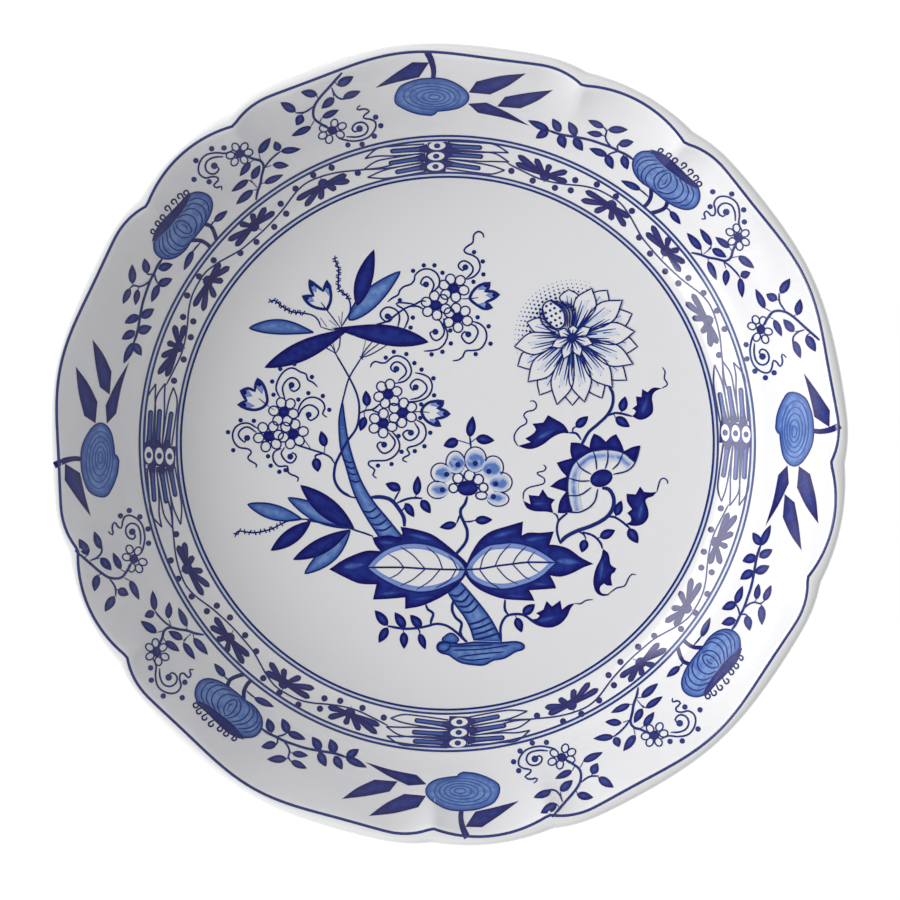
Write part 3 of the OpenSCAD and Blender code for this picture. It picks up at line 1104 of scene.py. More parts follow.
centreDaisies = {
    "daisies": [
        ((-18.3, 15.6),
         [(-20.4, 18), (-17.8, 18.7), (-15.7, 16.5), (-16.5, 13.7), (-19.3, 12.9), (-21.2, 14.9)]),
        ((-13.9, 9.9),
         [(-13.5, 12.9), (-11.1, 11.6), (-11.2, 8.6), (-14.1, 6.9), (-16.5, 8.3), (-16.5, 11.3)]),
        ((-19.8, 6.7), [(-19.8, 9.6), (-22.5, 8.1), (-22.7, 5.1), (-19.9, 3.7), (-17.2, 5.6)]),
    ],
    "eyes": [(-15.8, 23.5), (-9.8, 17.8), (-11.3, 3.7), (-19.6, 0)],
    "curls": [
        [(-15.6, 23.2), (-16.2, 22.5), (-17.6, 24), (-15.4, 25.7), (-12.7, 22.7), (-15.2, 19.8)],
        [(-16.3, 19), (-13.1, 19.8), (-11.2, 22.3), (-11.9, 25.4), (-13.8, 27.1), (-16.2, 27.5),
         (-18.1, 26.3), (-19.2, 25.4), (-20.8, 25.4), (-22.3, 25.8), (-23.5, 25), (-23.8, 23.9)],
        [(-9.8, 17.4), (-10.6, 16.9), (-11.5, 18.5), (-9.2, 20.3), (-6.3, 17.7), (-8.5, 14.8),
         (-11.5, 14)],
        [(-12.5, 13.3), (-9.2, 13.5), (-6.2, 14.8), (-4.7, 17.7), (-5.4, 20.4), (-7.3, 21.7),
         (-10, 22.3)],
        [(-11.4, 4.1), (-12.3, 4.5), (-13.8, 3.1), (-11.5, 1.3), (-8.8, 3.8), (-10.2, 6.9)],
        [(-9.6, 7.7), (-7.3, 6.2), (-6.6, 3.5), (-7.5, 1.2), (-9.6, -0.2), (-11.9, -0.8),
         (-12.5, -1.5), (-11.7, -2.9), (-13.5, -4), (-13.8, -4.8), (-12.5, -5.4)],
        [(-19.9, 0.4), (-20.8, 0.8), (-21.8, -0.4), (-19.4, -2.7), (-16.2, 0.4), (-18.1, 3.7)],
        [(-17.3, 4.2), (-15.4, 1.9), (-14.8, -0.8), (-16.2, -3.3), (-18.8, -4.8), (-22.3, -5),
         (-24.2, -5.2), (-24.4, -6.3), (-22.5, -7.9), (-23.1, -9.4), (-21.9, -10.4)],
    ],
    "dots": [
        (-19.1, 27), (-16.6, 28.8), (-12.7, 28.1), (-10.2, 25.3), (-8, 23.3), (-4.3, 20.6),
        (-4.1, 15.3), (-8.1, 12.5), (-8.4, 8.3), (-5.3, 3.7), (-7.1, -0.5), (-10.1, -2),
        (-14.2, -2.2), (-17.3, -6), (-21.5, -6.5), (-15.1, 2.7),
    ],
    "stems": [
        [(-27.5, 9.6), (-25.4, 10.6), (-23, 11), (-20.6, 12.9)],
        [(-23.8, 10.9), (-22, 10.2), (-20.8, 9.8)], [(-25.4, 10.6), (-25, 12)],
        [(-25.8, 10.2), (-25.7, 8.6)],
    ],
    "leaves": [((-24.8, 11.8), (-25.3, 16.8), 2.8), ((-25.5, 8.7), (-27, 4.2), 2.6)],
    "tulip": [
        [(-8.1, 10.2), (-7.3, 11.9), (-5, 13.3), (-1.3, 13.5)], [(-1.7, 12.1), (-3.1, 11.3)],
        [(-0.8, 10.6), (0.7, 9.5)], [(-1.2, 8.5), (-3.5, 8.1)], [(-2.2, 5.8)],
        [(-4.6, 6.3), (-6.9, 7.9), (-8.1, 10.2)],
    ],
    "tulipTips": [
        ((-1.4, 13.4), (-5.4, 12.2)), ((0.6, 9.5), (-3.5, 9.8)), ((-2.3, 5.9), (-5.6, 8)),
    ],
    "veins": [[(-11, 10.2), (-8.1, 10.2), (-5.5, 10)]],
}
leftDaisies = {
    "daisies": [
        ((-50.7, 10.2),
         [(-51.5, 13), (-48.7, 12.7), (-47.8, 9.6), (-49.6, 7.4), (-52.6, 7.6), (-53.8, 10.5)]),
        ((-55.4, 2.6),
         [(-57.2, 5.3), (-54, 5.6), (-52.4, 3), (-53.1, 0.2), (-56.3, -0.6), (-58.5, 2.1)]),
        ((-47.8, 3.3),
         [(-47.2, 6.3), (-44.7, 4.1), (-45.9, 1.3), (-48.7, 0.3), (-50.8, 2.3), (-50.1, 5.4)]),
    ],
    "eyes": [(-48.3, 18.5), (-43, 9.3), (-62.1, 2.1), (-48.7, -3.7)],
    "curls": [
        [(-48.3, 18.1), (-48.9, 17.7), (-47.5, 16.5), (-45.7, 18.5), (-48.1, 20.8), (-51, 18.1),
         (-50.4, 14.2)],
        [(-51.9, 14.6), (-53.1, 17.3), (-52.3, 20.4), (-50.4, 22.9), (-48.1, 23.8), (-45.4, 22.5),
         (-43.8, 21.9), (-43.3, 20.2), (-41.5, 19.2), (-40.3, 17.9)],
        [(-43, 9.1), (-43.5, 8.7), (-42.3, 7.5), (-39.9, 10), (-42.3, 12.3), (-45, 11.2),
         (-46.3, 8.5)],
        [(-46.5, 10), (-45.4, 12.7), (-43.5, 14.4), (-40.8, 14.6), (-38.5, 13.1), (-38, 11.2),
         (-38.7, 9.6), (-37.3, 8.5)],
        [(-62.4, 1.7), (-62.9, 0.8), (-64.8, 3.3), (-62.3, 5.5), (-59.2, 3.8)],
        [(-58.8, 5), (-61.9, 6.7), (-65, 6), (-66.5, 3.8), (-66.3, 1.2), (-64.6, -0.8),
         (-61.9, -1.3), (-60.8, -2.3), (-61.9, -4.2), (-60.4, -5.4), (-59.2, -6.2), (-59.4, -7.1)],
        [(-48.5, -3.2), (-47.9, -2.5), (-46.8, -3.8), (-48.8, -5.7), (-51.5, -2.9), (-50.4, -0.8)],
        [(-51.5, -1.2), (-53.7, -2.3), (-54, -4.6), (-52.3, -6.7), (-49.6, -6.7), (-49.4, -8.5),
         (-48.1, -9.4), (-46.3, -10.2), (-46.5, -11.5)],
    ],
    "dots": [
        (-47.4, 25), (-51.8, 23.5), (-54.3, 19.6), (-53.9, 15.5), (-42, 21), (-43.1, 16),
        (-46.2, 14), (-38.6, 15.1), (-36.6, 10.8), (-64.1, 7.6), (-60, 7.4), (-68, 3.9),
        (-66.4, -1.7), (-55.6, -3.6), (-54.8, -6.5), (-52.1, -8.4), (-50.2, -7.9),
    ],
    "stems": [
        [(-47.1, 0), (-42.3, -1.5), (-38.3, -2.8), (-36.2, -4), (-35, -5.8)],
        [(-44.6, 1.9), (-42.3, -1.4)], [(-38.2, -2.8), (-38, -0.6)],
        [(-38.3, -2.8), (-40.8, -3.3), (-41, -4.6)],
    ],
    "leaves": [((-37.9, -0.7), (-39.2, 4.3), 2.8), ((-40.9, -4), (-40.1, -8.5), 3)],
    "tulip": [
        [(-56.2, 12.5), (-55.8, 13.8), (-56.5, 17.3), (-57.5, 19.2), (-58.8, 20.4)],
        [(-59.4, 18.8), (-59.7, 16.7)], [(-61.9, 17.5), (-64, 16.7)], [(-63.1, 15), (-62.3, 13.7)],
        [(-64.8, 12.4)], [(-62.3, 11.2), (-59.6, 10.8), (-57.3, 11.5), (-56.2, 12.5)],
    ],
    "tulipTips": [
        ((-58.7, 20.3), (-57.4, 15.6)), ((-63.9, 16.7), (-60.4, 15)), ((-64.7, 12.4), (-59.6, 12)),
    ],
    "veins": [[(-58.5, 14.4), (-56.2, 12.5), (-55.2, 11.7)], [(-54.8, 11.4), (-53.6, 10.8)]],
}


fernBrush = {"stem": 0.5, "tick": 0.42, "half": 0.8, "covered": 0.62, "tilt": (-0.2, 0.35)}


def fern(art, points, ticks):
    stroke(art, points, fernBrush["stem"])
    path = smoothPath(points, 0.5)
    for k in range(ticks):
        n = 2 + round(k * (len(path) * fernBrush["covered"]) / ticks)
        along = (path[n + 1] - path[n]).normalized()
        side = Vector((-along.y, along.x)) * fernBrush["half"]
        tilt = along * fernBrush["tilt"][k % 2]
        tick = [tuple(path[n] + side + tilt), tuple(path[n] - side - tilt)]
        stroke(art, tick, fernBrush["tick"], taper=(1, 1))


leafSpray = {
    "edge": 0.5, "thinWidth": 0.4, "stemWidth": 0.6,
    "midLeaves": [
        ((-30.5, 38.7), (-14.6, 53.7), 5.6, 0.2, 0.42),
        ((-41.5, 34.8), (-61.4, 36.2), 4.4, -1, 0.55), ((-30, -25.8), (-49.4, -16.5), 5, 0.3, 0.5),
        ((-45.2, -23.1), (-61.9, -18.5), 4.5, 0.2, 0.52),
        ((-30.2, -26.5), (-44.2, -40), 5, 0.8, 0.5),
    ],
    "darkLeaves": [
        ((-28, 43), (-22.7, 60.5), 5.3, 0.3, 0.45), ((-36, 36.2), (-5.8, 31.8), 6.4, 0.3, 0.6),
        ((-30, 36.2), (-56.7, 23.9), 6.2, 0.2, 0.56),
        ((-28.8, -26.2), (-45.6, -12.5), 6.2, 0.2, 0.5),
        ((-42.3, -23.7), (-54.8, -32.9), 4.8, 0.2, 0.5),
        ((-30.2, -26.3), (-47.9, -35.7), 5, 0.4, 0.52),
    ],
    "ferns": [
        ([(-34.8, 58.7), (-34.8, 57.3), (-33.7, 54.6), (-33.8, 51.2), (-33.5, 48.1), (-31.2, 46.2),
          (-30.1, 43.8), (-30.2, 41.2), (-31.2, 39.2), (-32.9, 36.5)], 16),
        ([(-55.6, 44), (-53.8, 44.8), (-51.5, 43.1), (-48.5, 41.3), (-44.6, 40.8), (-41.5, 40),
          (-40, 38.5), (-39.2, 36.5)], 14),
        ([(-65.9, -28.7), (-65, -26.9), (-62.3, -27.1), (-59.6, -27.3), (-56.5, -26.7),
          (-54.2, -26), (-51.5, -24.6), (-48.8, -23.5), (-45.2, -23.1), (-41.9, -23.3)], 11),
    ],
    "thin": [
        [(-39.2, 44.2), (-37.3, 41.7), (-33.3, 36.5)], [(-39.4, 39.4), (-37.3, 36.5)],
        [(-36.7, 38.7), (-34.2, 36.7)], [(-33.7, 39.8), (-33.1, 37.3)],
        [(-32.5, 41.3), (-32.9, 36.9)], [(-39.2, 36.5), (-36, 35.6), (-33, 35.8)],
        [(-28, 43), (-31.2, 39.2)], [(-36.3, 34.6), (-34.6, 28.3)],
        [(-38.3, 33.3), (-35.8, 30.5), (-34.6, 28.3)],
        [(-33.1, 35.6), (-33.5, 30.4), (-34.6, 28.3)], [(-40, 31.5), (-36.8, 29.6), (-34.6, 28.3)],
        [(-25, 33.5), (-26.7, 26.9)], [(-22.9, 32.3), (-25.6, 29), (-26.7, 26.9)],
        [(-21, 31.5), (-24.8, 28.6), (-26.7, 26.9)], [(-18.5, 31), (-23.6, 28), (-26.7, 26.9)],
    ],
    "stem": [(-43.6, -23.4), (-36, -24.8), (-30, -26), (-28.1, -26.7), (-25, -27.7), (-23, -28.5)],
    "bud": [
        [(-37.3, 41.9), (-36.2, 44.6), (-36.2, 47.7), (-37.3, 50.8)], [(-38.5, 47.7)],
        [(-42.7, 51)], [(-42.5, 48.5), (-41.5, 46.2)], [(-44.8, 46)],
        [(-43.1, 43.8), (-40.8, 42.5), (-37.3, 41.9)],
    ],
    "budTips": [
        ((-37.3, 50.6), (-36.8, 46.2)), ((-42.6, 50.8), (-40.6, 47.2)),
        ((-44.6, 46), (-41.2, 44.4)),
    ],
}
leftTrunk = {
    "strandStart": 0.5, "strandEnds": (0.95, 0.55, 0.55), "endWidth": 0.8, "bandWidth": 0.6,
    "strands": [
        [(-34.6, 28.1), (-30.4, 20.8), (-28.1, 15.8), (-27.3, 11.5), (-28.1, 5.4), (-31.2, 0.8),
         (-33.5, -3.5), (-34.8, -6.5), (-35, -10.8), (-33.1, -14.2), (-30, -16.2)],
        [(-26.7, 26.9), (-30.4, 20.8), (-31.9, 15.8), (-33.5, 8.5), (-33.5, 3.1), (-32.9, -1.9),
         (-31.5, -6.5), (-29.6, -13.1), (-28.1, -16.9), (-25, -22.7), (-20.6, -29.4)],
        [(-32.5, 13.5), (-31.7, 6.9), (-30.8, 1.5), (-29.2, -4.6), (-27.3, -10), (-25, -14.5),
         (-22.3, -18.5), (-18.8, -22.7), (-13.4, -29.3)],
    ],
    "wash": [
        [(-32.5, 13.5), (-33.5, 8.5), (-33.5, 3.1), (-32.9, -1.9), (-31.5, -6.5), (-29.6, -13.1),
         (-28.1, -16.9), (-25, -22.7), (-20.6, -29.4)], [(-13.4, -29.3)],
        [(-18.8, -22.7), (-22.3, -18.5), (-25, -14.5), (-27.3, -10), (-29.2, -4.6), (-30.8, 1.5),
         (-31.7, 6.9), (-32.5, 13.5)],
    ],
    "ends": [[(-35, 28.6), (-34.2, 27.6)], [(-27.1, 27.4), (-26.2, 26.4)]],
    "bands": [
        [(-31.9, -4.6), (-30.4, -5.6), (-28.9, -5.2)], [(-31.5, -6.4), (-29.8, -7.4), (-28.4, -7)],
        [(-30.9, -8.4), (-29.2, -9.3), (-27.6, -8.8)],
        [(-30.2, -10.8), (-28.6, -11.6), (-26.6, -11)],
        [(-26.2, -20.6), (-24, -20.9), (-21.6, -19.3)],
        [(-24.9, -22.6), (-22.6, -22.8), (-20.2, -21)],
        [(-23.6, -24.6), (-21.1, -24.8), (-18.4, -22.9)],
        [(-22.2, -26.4), (-19.6, -26.5), (-16.9, -24.8)],
    ],
}


sprayBud = {"edge": 0.92, "pale": 2.6, "dark": 1.8}


def paintSpray(art, s):
    for base, tip, width, bow, belly in s["midLeaves"]:
        leaf(art, base, tip, width, "mid", outline=s["edge"], bow=bow, belly=belly)
    for base, tip, width, bow, belly in s["darkLeaves"]:
        leaf(art, base, tip, width, "dark", bow=bow, belly=belly)
    for points, ticks in s["ferns"]:
        fern(art, points, ticks)
    for points in s["thin"]:
        stroke(art, points, s["thinWidth"])
    stroke(art, s["stem"], s["stemWidth"])
    openTulip(art, s["bud"], s["budTips"], sprayBud)


def paintLeftTrunk(art, s):
    fill(art, s["wash"], "mid")
    for strand, width in zip(s["strands"], s["strandEnds"]):
        stroke(art, strand, (s["strandStart"], width))
    for end in s["ends"]:
        stroke(art, end, s["endWidth"], "dark")
    for band in s["bands"]:
        stroke(art, band, s["bandWidth"])


bigLeft = {
    "hearts": [
        ((-21.5, -30.2), (-15.5, -30.6), 1.7), ((-12.3, -27.7), (-3.5, -29.8), 1.9),
        ((-32.5, -38.1), (-25, -37), 2.8), ((-21, -46.4), (-13.5, -45.6), 1.7),
        ((-11, -48.2), (-4, -47.2), 1.5),
    ],
    "rib": [(6.2, -38.8), (-1.2, -38.7), (-6.9, -38.5), (-13.5, -38.1), (-25, -38.1)],
    "field": [
        [(5.8, -38.7), (4.2, -36.2), (0.8, -33.8), (-3.1, -31.9), (-8.5, -30.6), (-13.8, -30.8),
         (-18.5, -32.3), (-22.3, -35), (-25, -38.1)],
        [(-22.3, -40.4), (-18.5, -42.7), (-13.8, -44.8), (-8.5, -45.8), (-3.1, -45), (1.5, -43.1),
         (4.6, -41.2), (5.8, -38.7)],
    ],
    "veins": [
        [(-13.5, -38.1), (-15.6, -35.6), (-18.5, -33.8)],
        [(-6.9, -38.5), (-10.8, -34.2), (-14.6, -31.7)],
        [(-1.5, -38.5), (-3.1, -34.6), (-6.5, -31.7)], [(3.1, -38.5), (1.9, -36.2), (0.4, -34.2)],
        [(-13.5, -38.3), (-15.4, -40.2), (-18.1, -41.5)],
        [(-6.9, -38.7), (-10.8, -41.9), (-14.6, -43.8)],
        [(-2.3, -38.8), (-5.4, -42.3), (-9.6, -45)], [(2.7, -38.8), (0.8, -41.9), (-3.8, -44.6)],
    ],
    "outer": [
        [(6.2, -38.8), (6.2, -36.9), (2.7, -33.5), (-1.5, -30), (-5, -27.7), (-10, -26.2),
         (-14.6, -25.4)], [(-14.2, -28.3), (-18.5, -28.1), (-23.3, -28.8)],
        [(-22.3, -31.2), (-20.8, -33)],
        [(-25, -32.9), (-30, -34.6), (-33.1, -36.2), (-36.7, -38.7)],
        [(-31.2, -41.5), (-27.3, -43.1), (-22, -43.4)], [(-23.1, -48.1)],
        [(-18.5, -47.9), (-13.1, -47.4)], [(-13.1, -51)],
        [(-8.5, -50.2), (-4.6, -48.7), (-0.8, -46.7), (2.7, -44.2), (5.8, -40.4), (6.2, -38.8)],
    ],
}
bigRight = {
    "hearts": [
        ((13.8, -28.8), (21.5, -26.6), 2), ((24, -29.8), (31, -28.7), 1.9),
        ((33.5, -36), (41.5, -36.6), 2.9), ((26.5, -43.2), (31.8, -43.4), 1.5),
        ((18.5, -46.8), (24.6, -47.2), 1.4),
    ],
    "rib": [(5.8, -38.8), (10.4, -38.5), (15, -37.7), (20.4, -37), (25, -36.5), (33.6, -36.6)],
    "field": [
        [(5.8, -38.5), (6.9, -36.2), (9.6, -33.3), (12.7, -31.3), (16.2, -30.7), (20.4, -30.4),
         (24.6, -31.2), (27.5, -32.3), (30.8, -34.2), (34, -36.6)],
        [(32.3, -38.2), (30, -40.4), (26.9, -42.3), (22.7, -43.8), (18.5, -44.8), (14.2, -44.6),
         (10.4, -43.5), (6.9, -41.2), (5.8, -38.5)],
    ],
    "veins": [
        [(10.2, -38.5), (11.2, -35), (13.8, -31.7)], [(14.8, -37.7), (16.5, -34.2), (19.6, -30.8)],
        [(20.2, -37.1), (21.9, -34.2), (24.6, -31.5)], [(24.8, -36.5), (26, -34.6), (27.3, -33.1)],
        [(10, -38.8), (12.7, -42.3), (16.5, -44.8)], [(15.4, -38.1), (18.5, -41.5), (21.9, -43.3)],
        [(20.4, -37.3), (23.8, -40.8), (25.8, -41.9)], [(25, -36.5), (26.6, -38.4), (28.5, -39.6)],
    ],
    "outer": [
        [(5.6, -38.8), (6, -36.9), (7.7, -33.1), (10.4, -29.2), (13.5, -26.9), (18.1, -25.4),
         (23.5, -23.8)], [(23.1, -28.2)], [(25, -27.3), (29, -27.3), (33.1, -26.9)], [(31.7, -31)],
        [(34.2, -31.2), (37.7, -32.3), (41.5, -35), (45.4, -37)],
        [(42.3, -38.1), (38.5, -40), (35, -41), (31.9, -40.6)], [(33.1, -42.7), (33.8, -44.6)],
        [(30, -44.9), (25.4, -45.2)], [(26.2, -46.5), (27.1, -48.5)],
        [(23.1, -48.3), (17.7, -47.9), (13.1, -46.5), (8.8, -44.2), (5.8, -40.8), (5.6, -38.8)],
    ],
}
mainTrunk = {
    "edge": 0.55, "bandWidth": 0.7,
    "left": [(0, -45.5), (3.1, -50.4), (5.4, -53.5), (7.3, -57.3), (8.3, -60.8)],
    "right": [
        (4.2, -42.7), (6.9, -45.8), (10.4, -50), (13.5, -54.2), (15.6, -58.1), (16.9, -61.2),
    ],
    "bands": [
        [(1, -46.6), (3.4, -46.9), (5.6, -44.8)], [(2.1, -48.4), (4.9, -48.6), (7, -46.3)],
        [(3.4, -50.2), (6.3, -50.1), (8.4, -47.9)], [(4.6, -52), (7.5, -51.8), (9.7, -49.5)],
        [(6.6, -55.8), (9.8, -55), (12.9, -53.4)], [(7.3, -57.4), (10.6, -56.6), (13.9, -55.1)],
        [(7.9, -59.1), (11.4, -58.2), (14.8, -56.8)], [(8.2, -60.6), (12, -59.8), (15.8, -58.6)],
    ],
}
rock = {
    "edge": 0.55, "lumpEdge": 0.45, "lineWidth": 0.45,
    "outline": [
        (-3.1, -62.3), (-2.3, -61.3), (-0.4, -61.2), (3.8, -61.9), (8.5, -61.3), (16.2, -61.5),
        (21.5, -61.2), (23.7, -62.1), (23.7, -63.3), (21.2, -64.2), (17.7, -66.2), (14.2, -66.9),
        (11.5, -68.3), (8.5, -68.3), (4.6, -67.7), (2.3, -66.5), (0.4, -65.2), (-1.9, -64.6),
        (-3.1, -63.5),
    ],
    "end": [
        (-2.9, -62.4), (-1.6, -61.6), (0.8, -61.8), (0.6, -63.2), (-0.8, -64.2), (-2.6, -63.7),
    ],
    "hump": [(-1.6, -60.6), (-0.4, -59.2), (0.9, -58.5), (2.2, -58.9), (3.5, -60.8), (1, -61.5)],
    "lines": [
        [(1.7, -63.8), (10.4, -63.5), (19.2, -62.3)], [(3.8, -65.8), (10, -65), (17.7, -64.3)],
        [(3.1, -66), (7, -66.9), (13.5, -66.2)], [(0.6, -62.6), (8, -62.4), (14, -62.1)],
    ],
}


leafField = {"inset": 0.9, "veil": 1.8, "shade": 0.84, "edge": 0.52, "rib": 0.6, "vein": 0.38}


def paintBigLeaf(art, s):
    # a dark leaf round a white field, which is shaded along its edge and veined
    fill(art, s["outer"])
    for base, tip, width in s["hearts"]:
        leaf(art, base, tip, width, "glow")
    field = [(p[0], p[1]) for p in cornered(s["field"])]
    flatFill(art, field, "white")
    middle = Vector((sum(p[0] for p in field), sum(p[1] for p in field))) / len(field)
    inset = []
    for p in field:
        inward = (middle - Vector(p)).normalized() * leafField["inset"]
        inset.append((p[0] + inward.x, p[1] + inward.y))
    halfway = [((x + p[0]) / 2, (y + p[1]) / 2) for (x, y), p in zip(inset, field)]
    trace(art, inset, leafField["veil"], "veil")
    trace(art, halfway, leafField["shade"], "overlay")
    trace(art, field, leafField["edge"], "top")
    stroke(art, s["rib"], leafField["rib"], "top", (1, 0.5))
    for vein in s["veins"]:
        stroke(art, vein, leafField["vein"], "top", (1, 0.5))


def paintTrunk(art, s):
    left, right = s["left"], s["right"]
    fill(art, [left[::-1], [left[0], right[0]], right, [right[-1], left[-1]]], "mid")
    stroke(art, left, s["edge"])
    stroke(art, right, s["edge"])
    for band in s["bands"]:
        stroke(art, band, s["bandWidth"])


def paintRock(art, s):
    fill(art, s["outline"], "mid", outline=s["edge"])
    fill(art, s["hump"], "mid", outline=s["lumpEdge"])
    fill(art, s["end"], "mid", outline=s["lumpEdge"])
    for points in s["lines"]:
        stroke(art, points, s["lineWidth"])


roundFlower = {
    "petalEdge": 0.42, "washAt": 0.42, "wash": 0.88, "dot": 0.85, "beadEdge": 0.5,
    "hub": (6.3, -13.5), "hubSize": (3.3, 2.4),
    "beads": [
        ((3.3, -10.4), 1.6, 1), ((6.9, -9.6), 1.7, 1), ((9.6, -10.8), 1.6, 1),
        ((11.2, -13.3), 1.4, 1), ((10.6, -15.8), 1.8, 0.66), ((1.9, -13.5), 1.4, 1),
    ],
    "petals": [
        ((2.5, -5.5), (2.9, 3.5), (3.3, -6.2)), ((8.7, -4.6), (3.4, 3.9), (8.7, -5.8)),
        ((14.2, -7.1), (3.2, 3.6), (12.9, -8.3)), ((16.7, -11.7), (3.4, 3.1), (15, -12.2)),
        ((15.8, -16.9), (3.3, 2.2), (14.3, -16.1)), ((-2.1, -8.7), (3, 3), (-0.2, -9.2)),
        ((-3.1, -14), (3.1, 2.7), (-1.5, -14)),
    ],
}
sprigs = {
    "stems": [
        ([(6.2, -16), (5.4, -18.5), (4.2, -20), (4.2, -21.9), (5.4, -24.6), (6.2, -26.9),
          (5.8, -30), (3.1, -33.5), (1.8, -34.8)], 0.8), ([(7.3, -1.2), (7.2, 0.4), (7, 2.4)], 0.5),
        ([(7.2, 0.6), (8.8, 1.9)], 0.5), ([(7.2, 0.2), (3.5, 1.3)], 0.5),
        ([(4.3, -21), (3.6, -22.6), (2.9, -24.4)], 0.5),
        ([(5.1, -23.8), (6.8, -23.9), (8.5, -23.5)], 0.5),
        ([(-23.7, -16.3), (-20, -16.3), (-17.3, -17.3), (-15, -20), (-13.5, -22.7), (-13.3, -25.4)],
         1), ([(-15.6, -18.1), (-12.7, -16.9), (-10, -16.5), (-7.7, -16.7)], 0.6),
        ([(-16.6, -17.6), (-15.6, -15.6), (-14.6, -14)], 0.5),
        ([(-10.2, -16.5), (-9.6, -15.6)], 0.5),
        ([(-14.4, -20.8), (-13.2, -19.4), (-13, -18.2)], 0.45),
        ([(5.8, -61.2), (3.1, -58.5), (0, -56.3), (-3.1, -55.6), (-6.2, -56.3), (-9.2, -56.9),
          (-13.5, -57.1), (-18.5, -56.3)], 0.65),
        ([(-6.7, -49.6), (-6, -51.2), (-4.4, -52.3), (-5, -54.6), (-5.2, -55.8)], 0.7),
        ([(1.9, -48), (1.5, -51.2), (2.7, -53.8), (4.4, -55.4), (4, -58.1), (4.8, -60),
          (6.2, -61.2)], 0.75), ([(-30, -16.2), (-27.9, -16.6)], 0.9),
        ([(-9.6, -56.9), (-8.6, -57.8), (-8.6, -58.8)], 0.45),
        ([(-13.8, -57.1), (-13.5, -58.4)], 0.45),
        ([(16.7, -60.8), (16.5, -56.9), (17.5, -54.2), (19, -52.9), (23.1, -52.7), (25.8, -54.2),
          (28, -55.8)], 0.68), ([(19, -52.9), (17.9, -51.2), (17.9, -48.1)], 0.65),
        ([(21, -52.8), (21.5, -53.9)], 0.45),
    ],
    "leaves": [
        ((2.9, -24.6), (-2.4, -25.7), 2.6), ((8.5, -23.5), (14, -23.3), 2.8),
        ((6.9, 2.3), (7.9, 8.9), 3), ((8.8, 1.9), (14.6, 1.3), 3.2),
        ((3.5, 1.3), (-1.2, -0.4), 3.3), ((-14.4, -13.8), (-19.2, -12.1), 3),
        ((-9.6, -15.8), (-9.1, -9.6), 2.7), ((-13.1, -18.1), (-10.3, -22.5), 2.7),
        ((-8.1, -17.1), (-5.2, -21.3), 3), ((-18.5, -56.2), (-22.5, -51.4), 3),
        ((-13.1, -56.9), (-16.3, -52), 3), ((-8, -56.8), (-11.5, -52.8), 3),
        ((-18.5, -56.7), (-21.3, -61.5), 2.8), ((-13.5, -58.1), (-13.4, -63.4), 2.7),
        ((-8.7, -58.5), (-6.8, -63.6), 2.4), ((23.4, -52.7), (27.2, -49.5), 3),
        ((21.4, -53.6), (23.1, -58.3), 2.8),
    ],
}


def paintRoundFlower(art, s):
    for centre, half, dot in s["petals"]:
        ratio = half[1] / half[0]
        loop(art, circlePoints(centre, half[0], 12, ratio), s["petalEdge"])
        place = tuple(Vector(centre).lerp(Vector(dot), s["washAt"]))
        spot(art, place, half[0] * s["wash"], "fade", ratio)
        spot(art, dot, s["dot"], "top")
    for centre, size, ratio in s["beads"]:
        loop(art, circlePoints(centre, size, 10, ratio), s["beadEdge"])
    spot(art, s["hub"], s["hubSize"][0], "dark", s["hubSize"][1] / s["hubSize"][0])


stemSwell = 1.22


def paintStems(art, s):
    for points, width in s["stems"]:
        stroke(art, points, width * stemSwell)


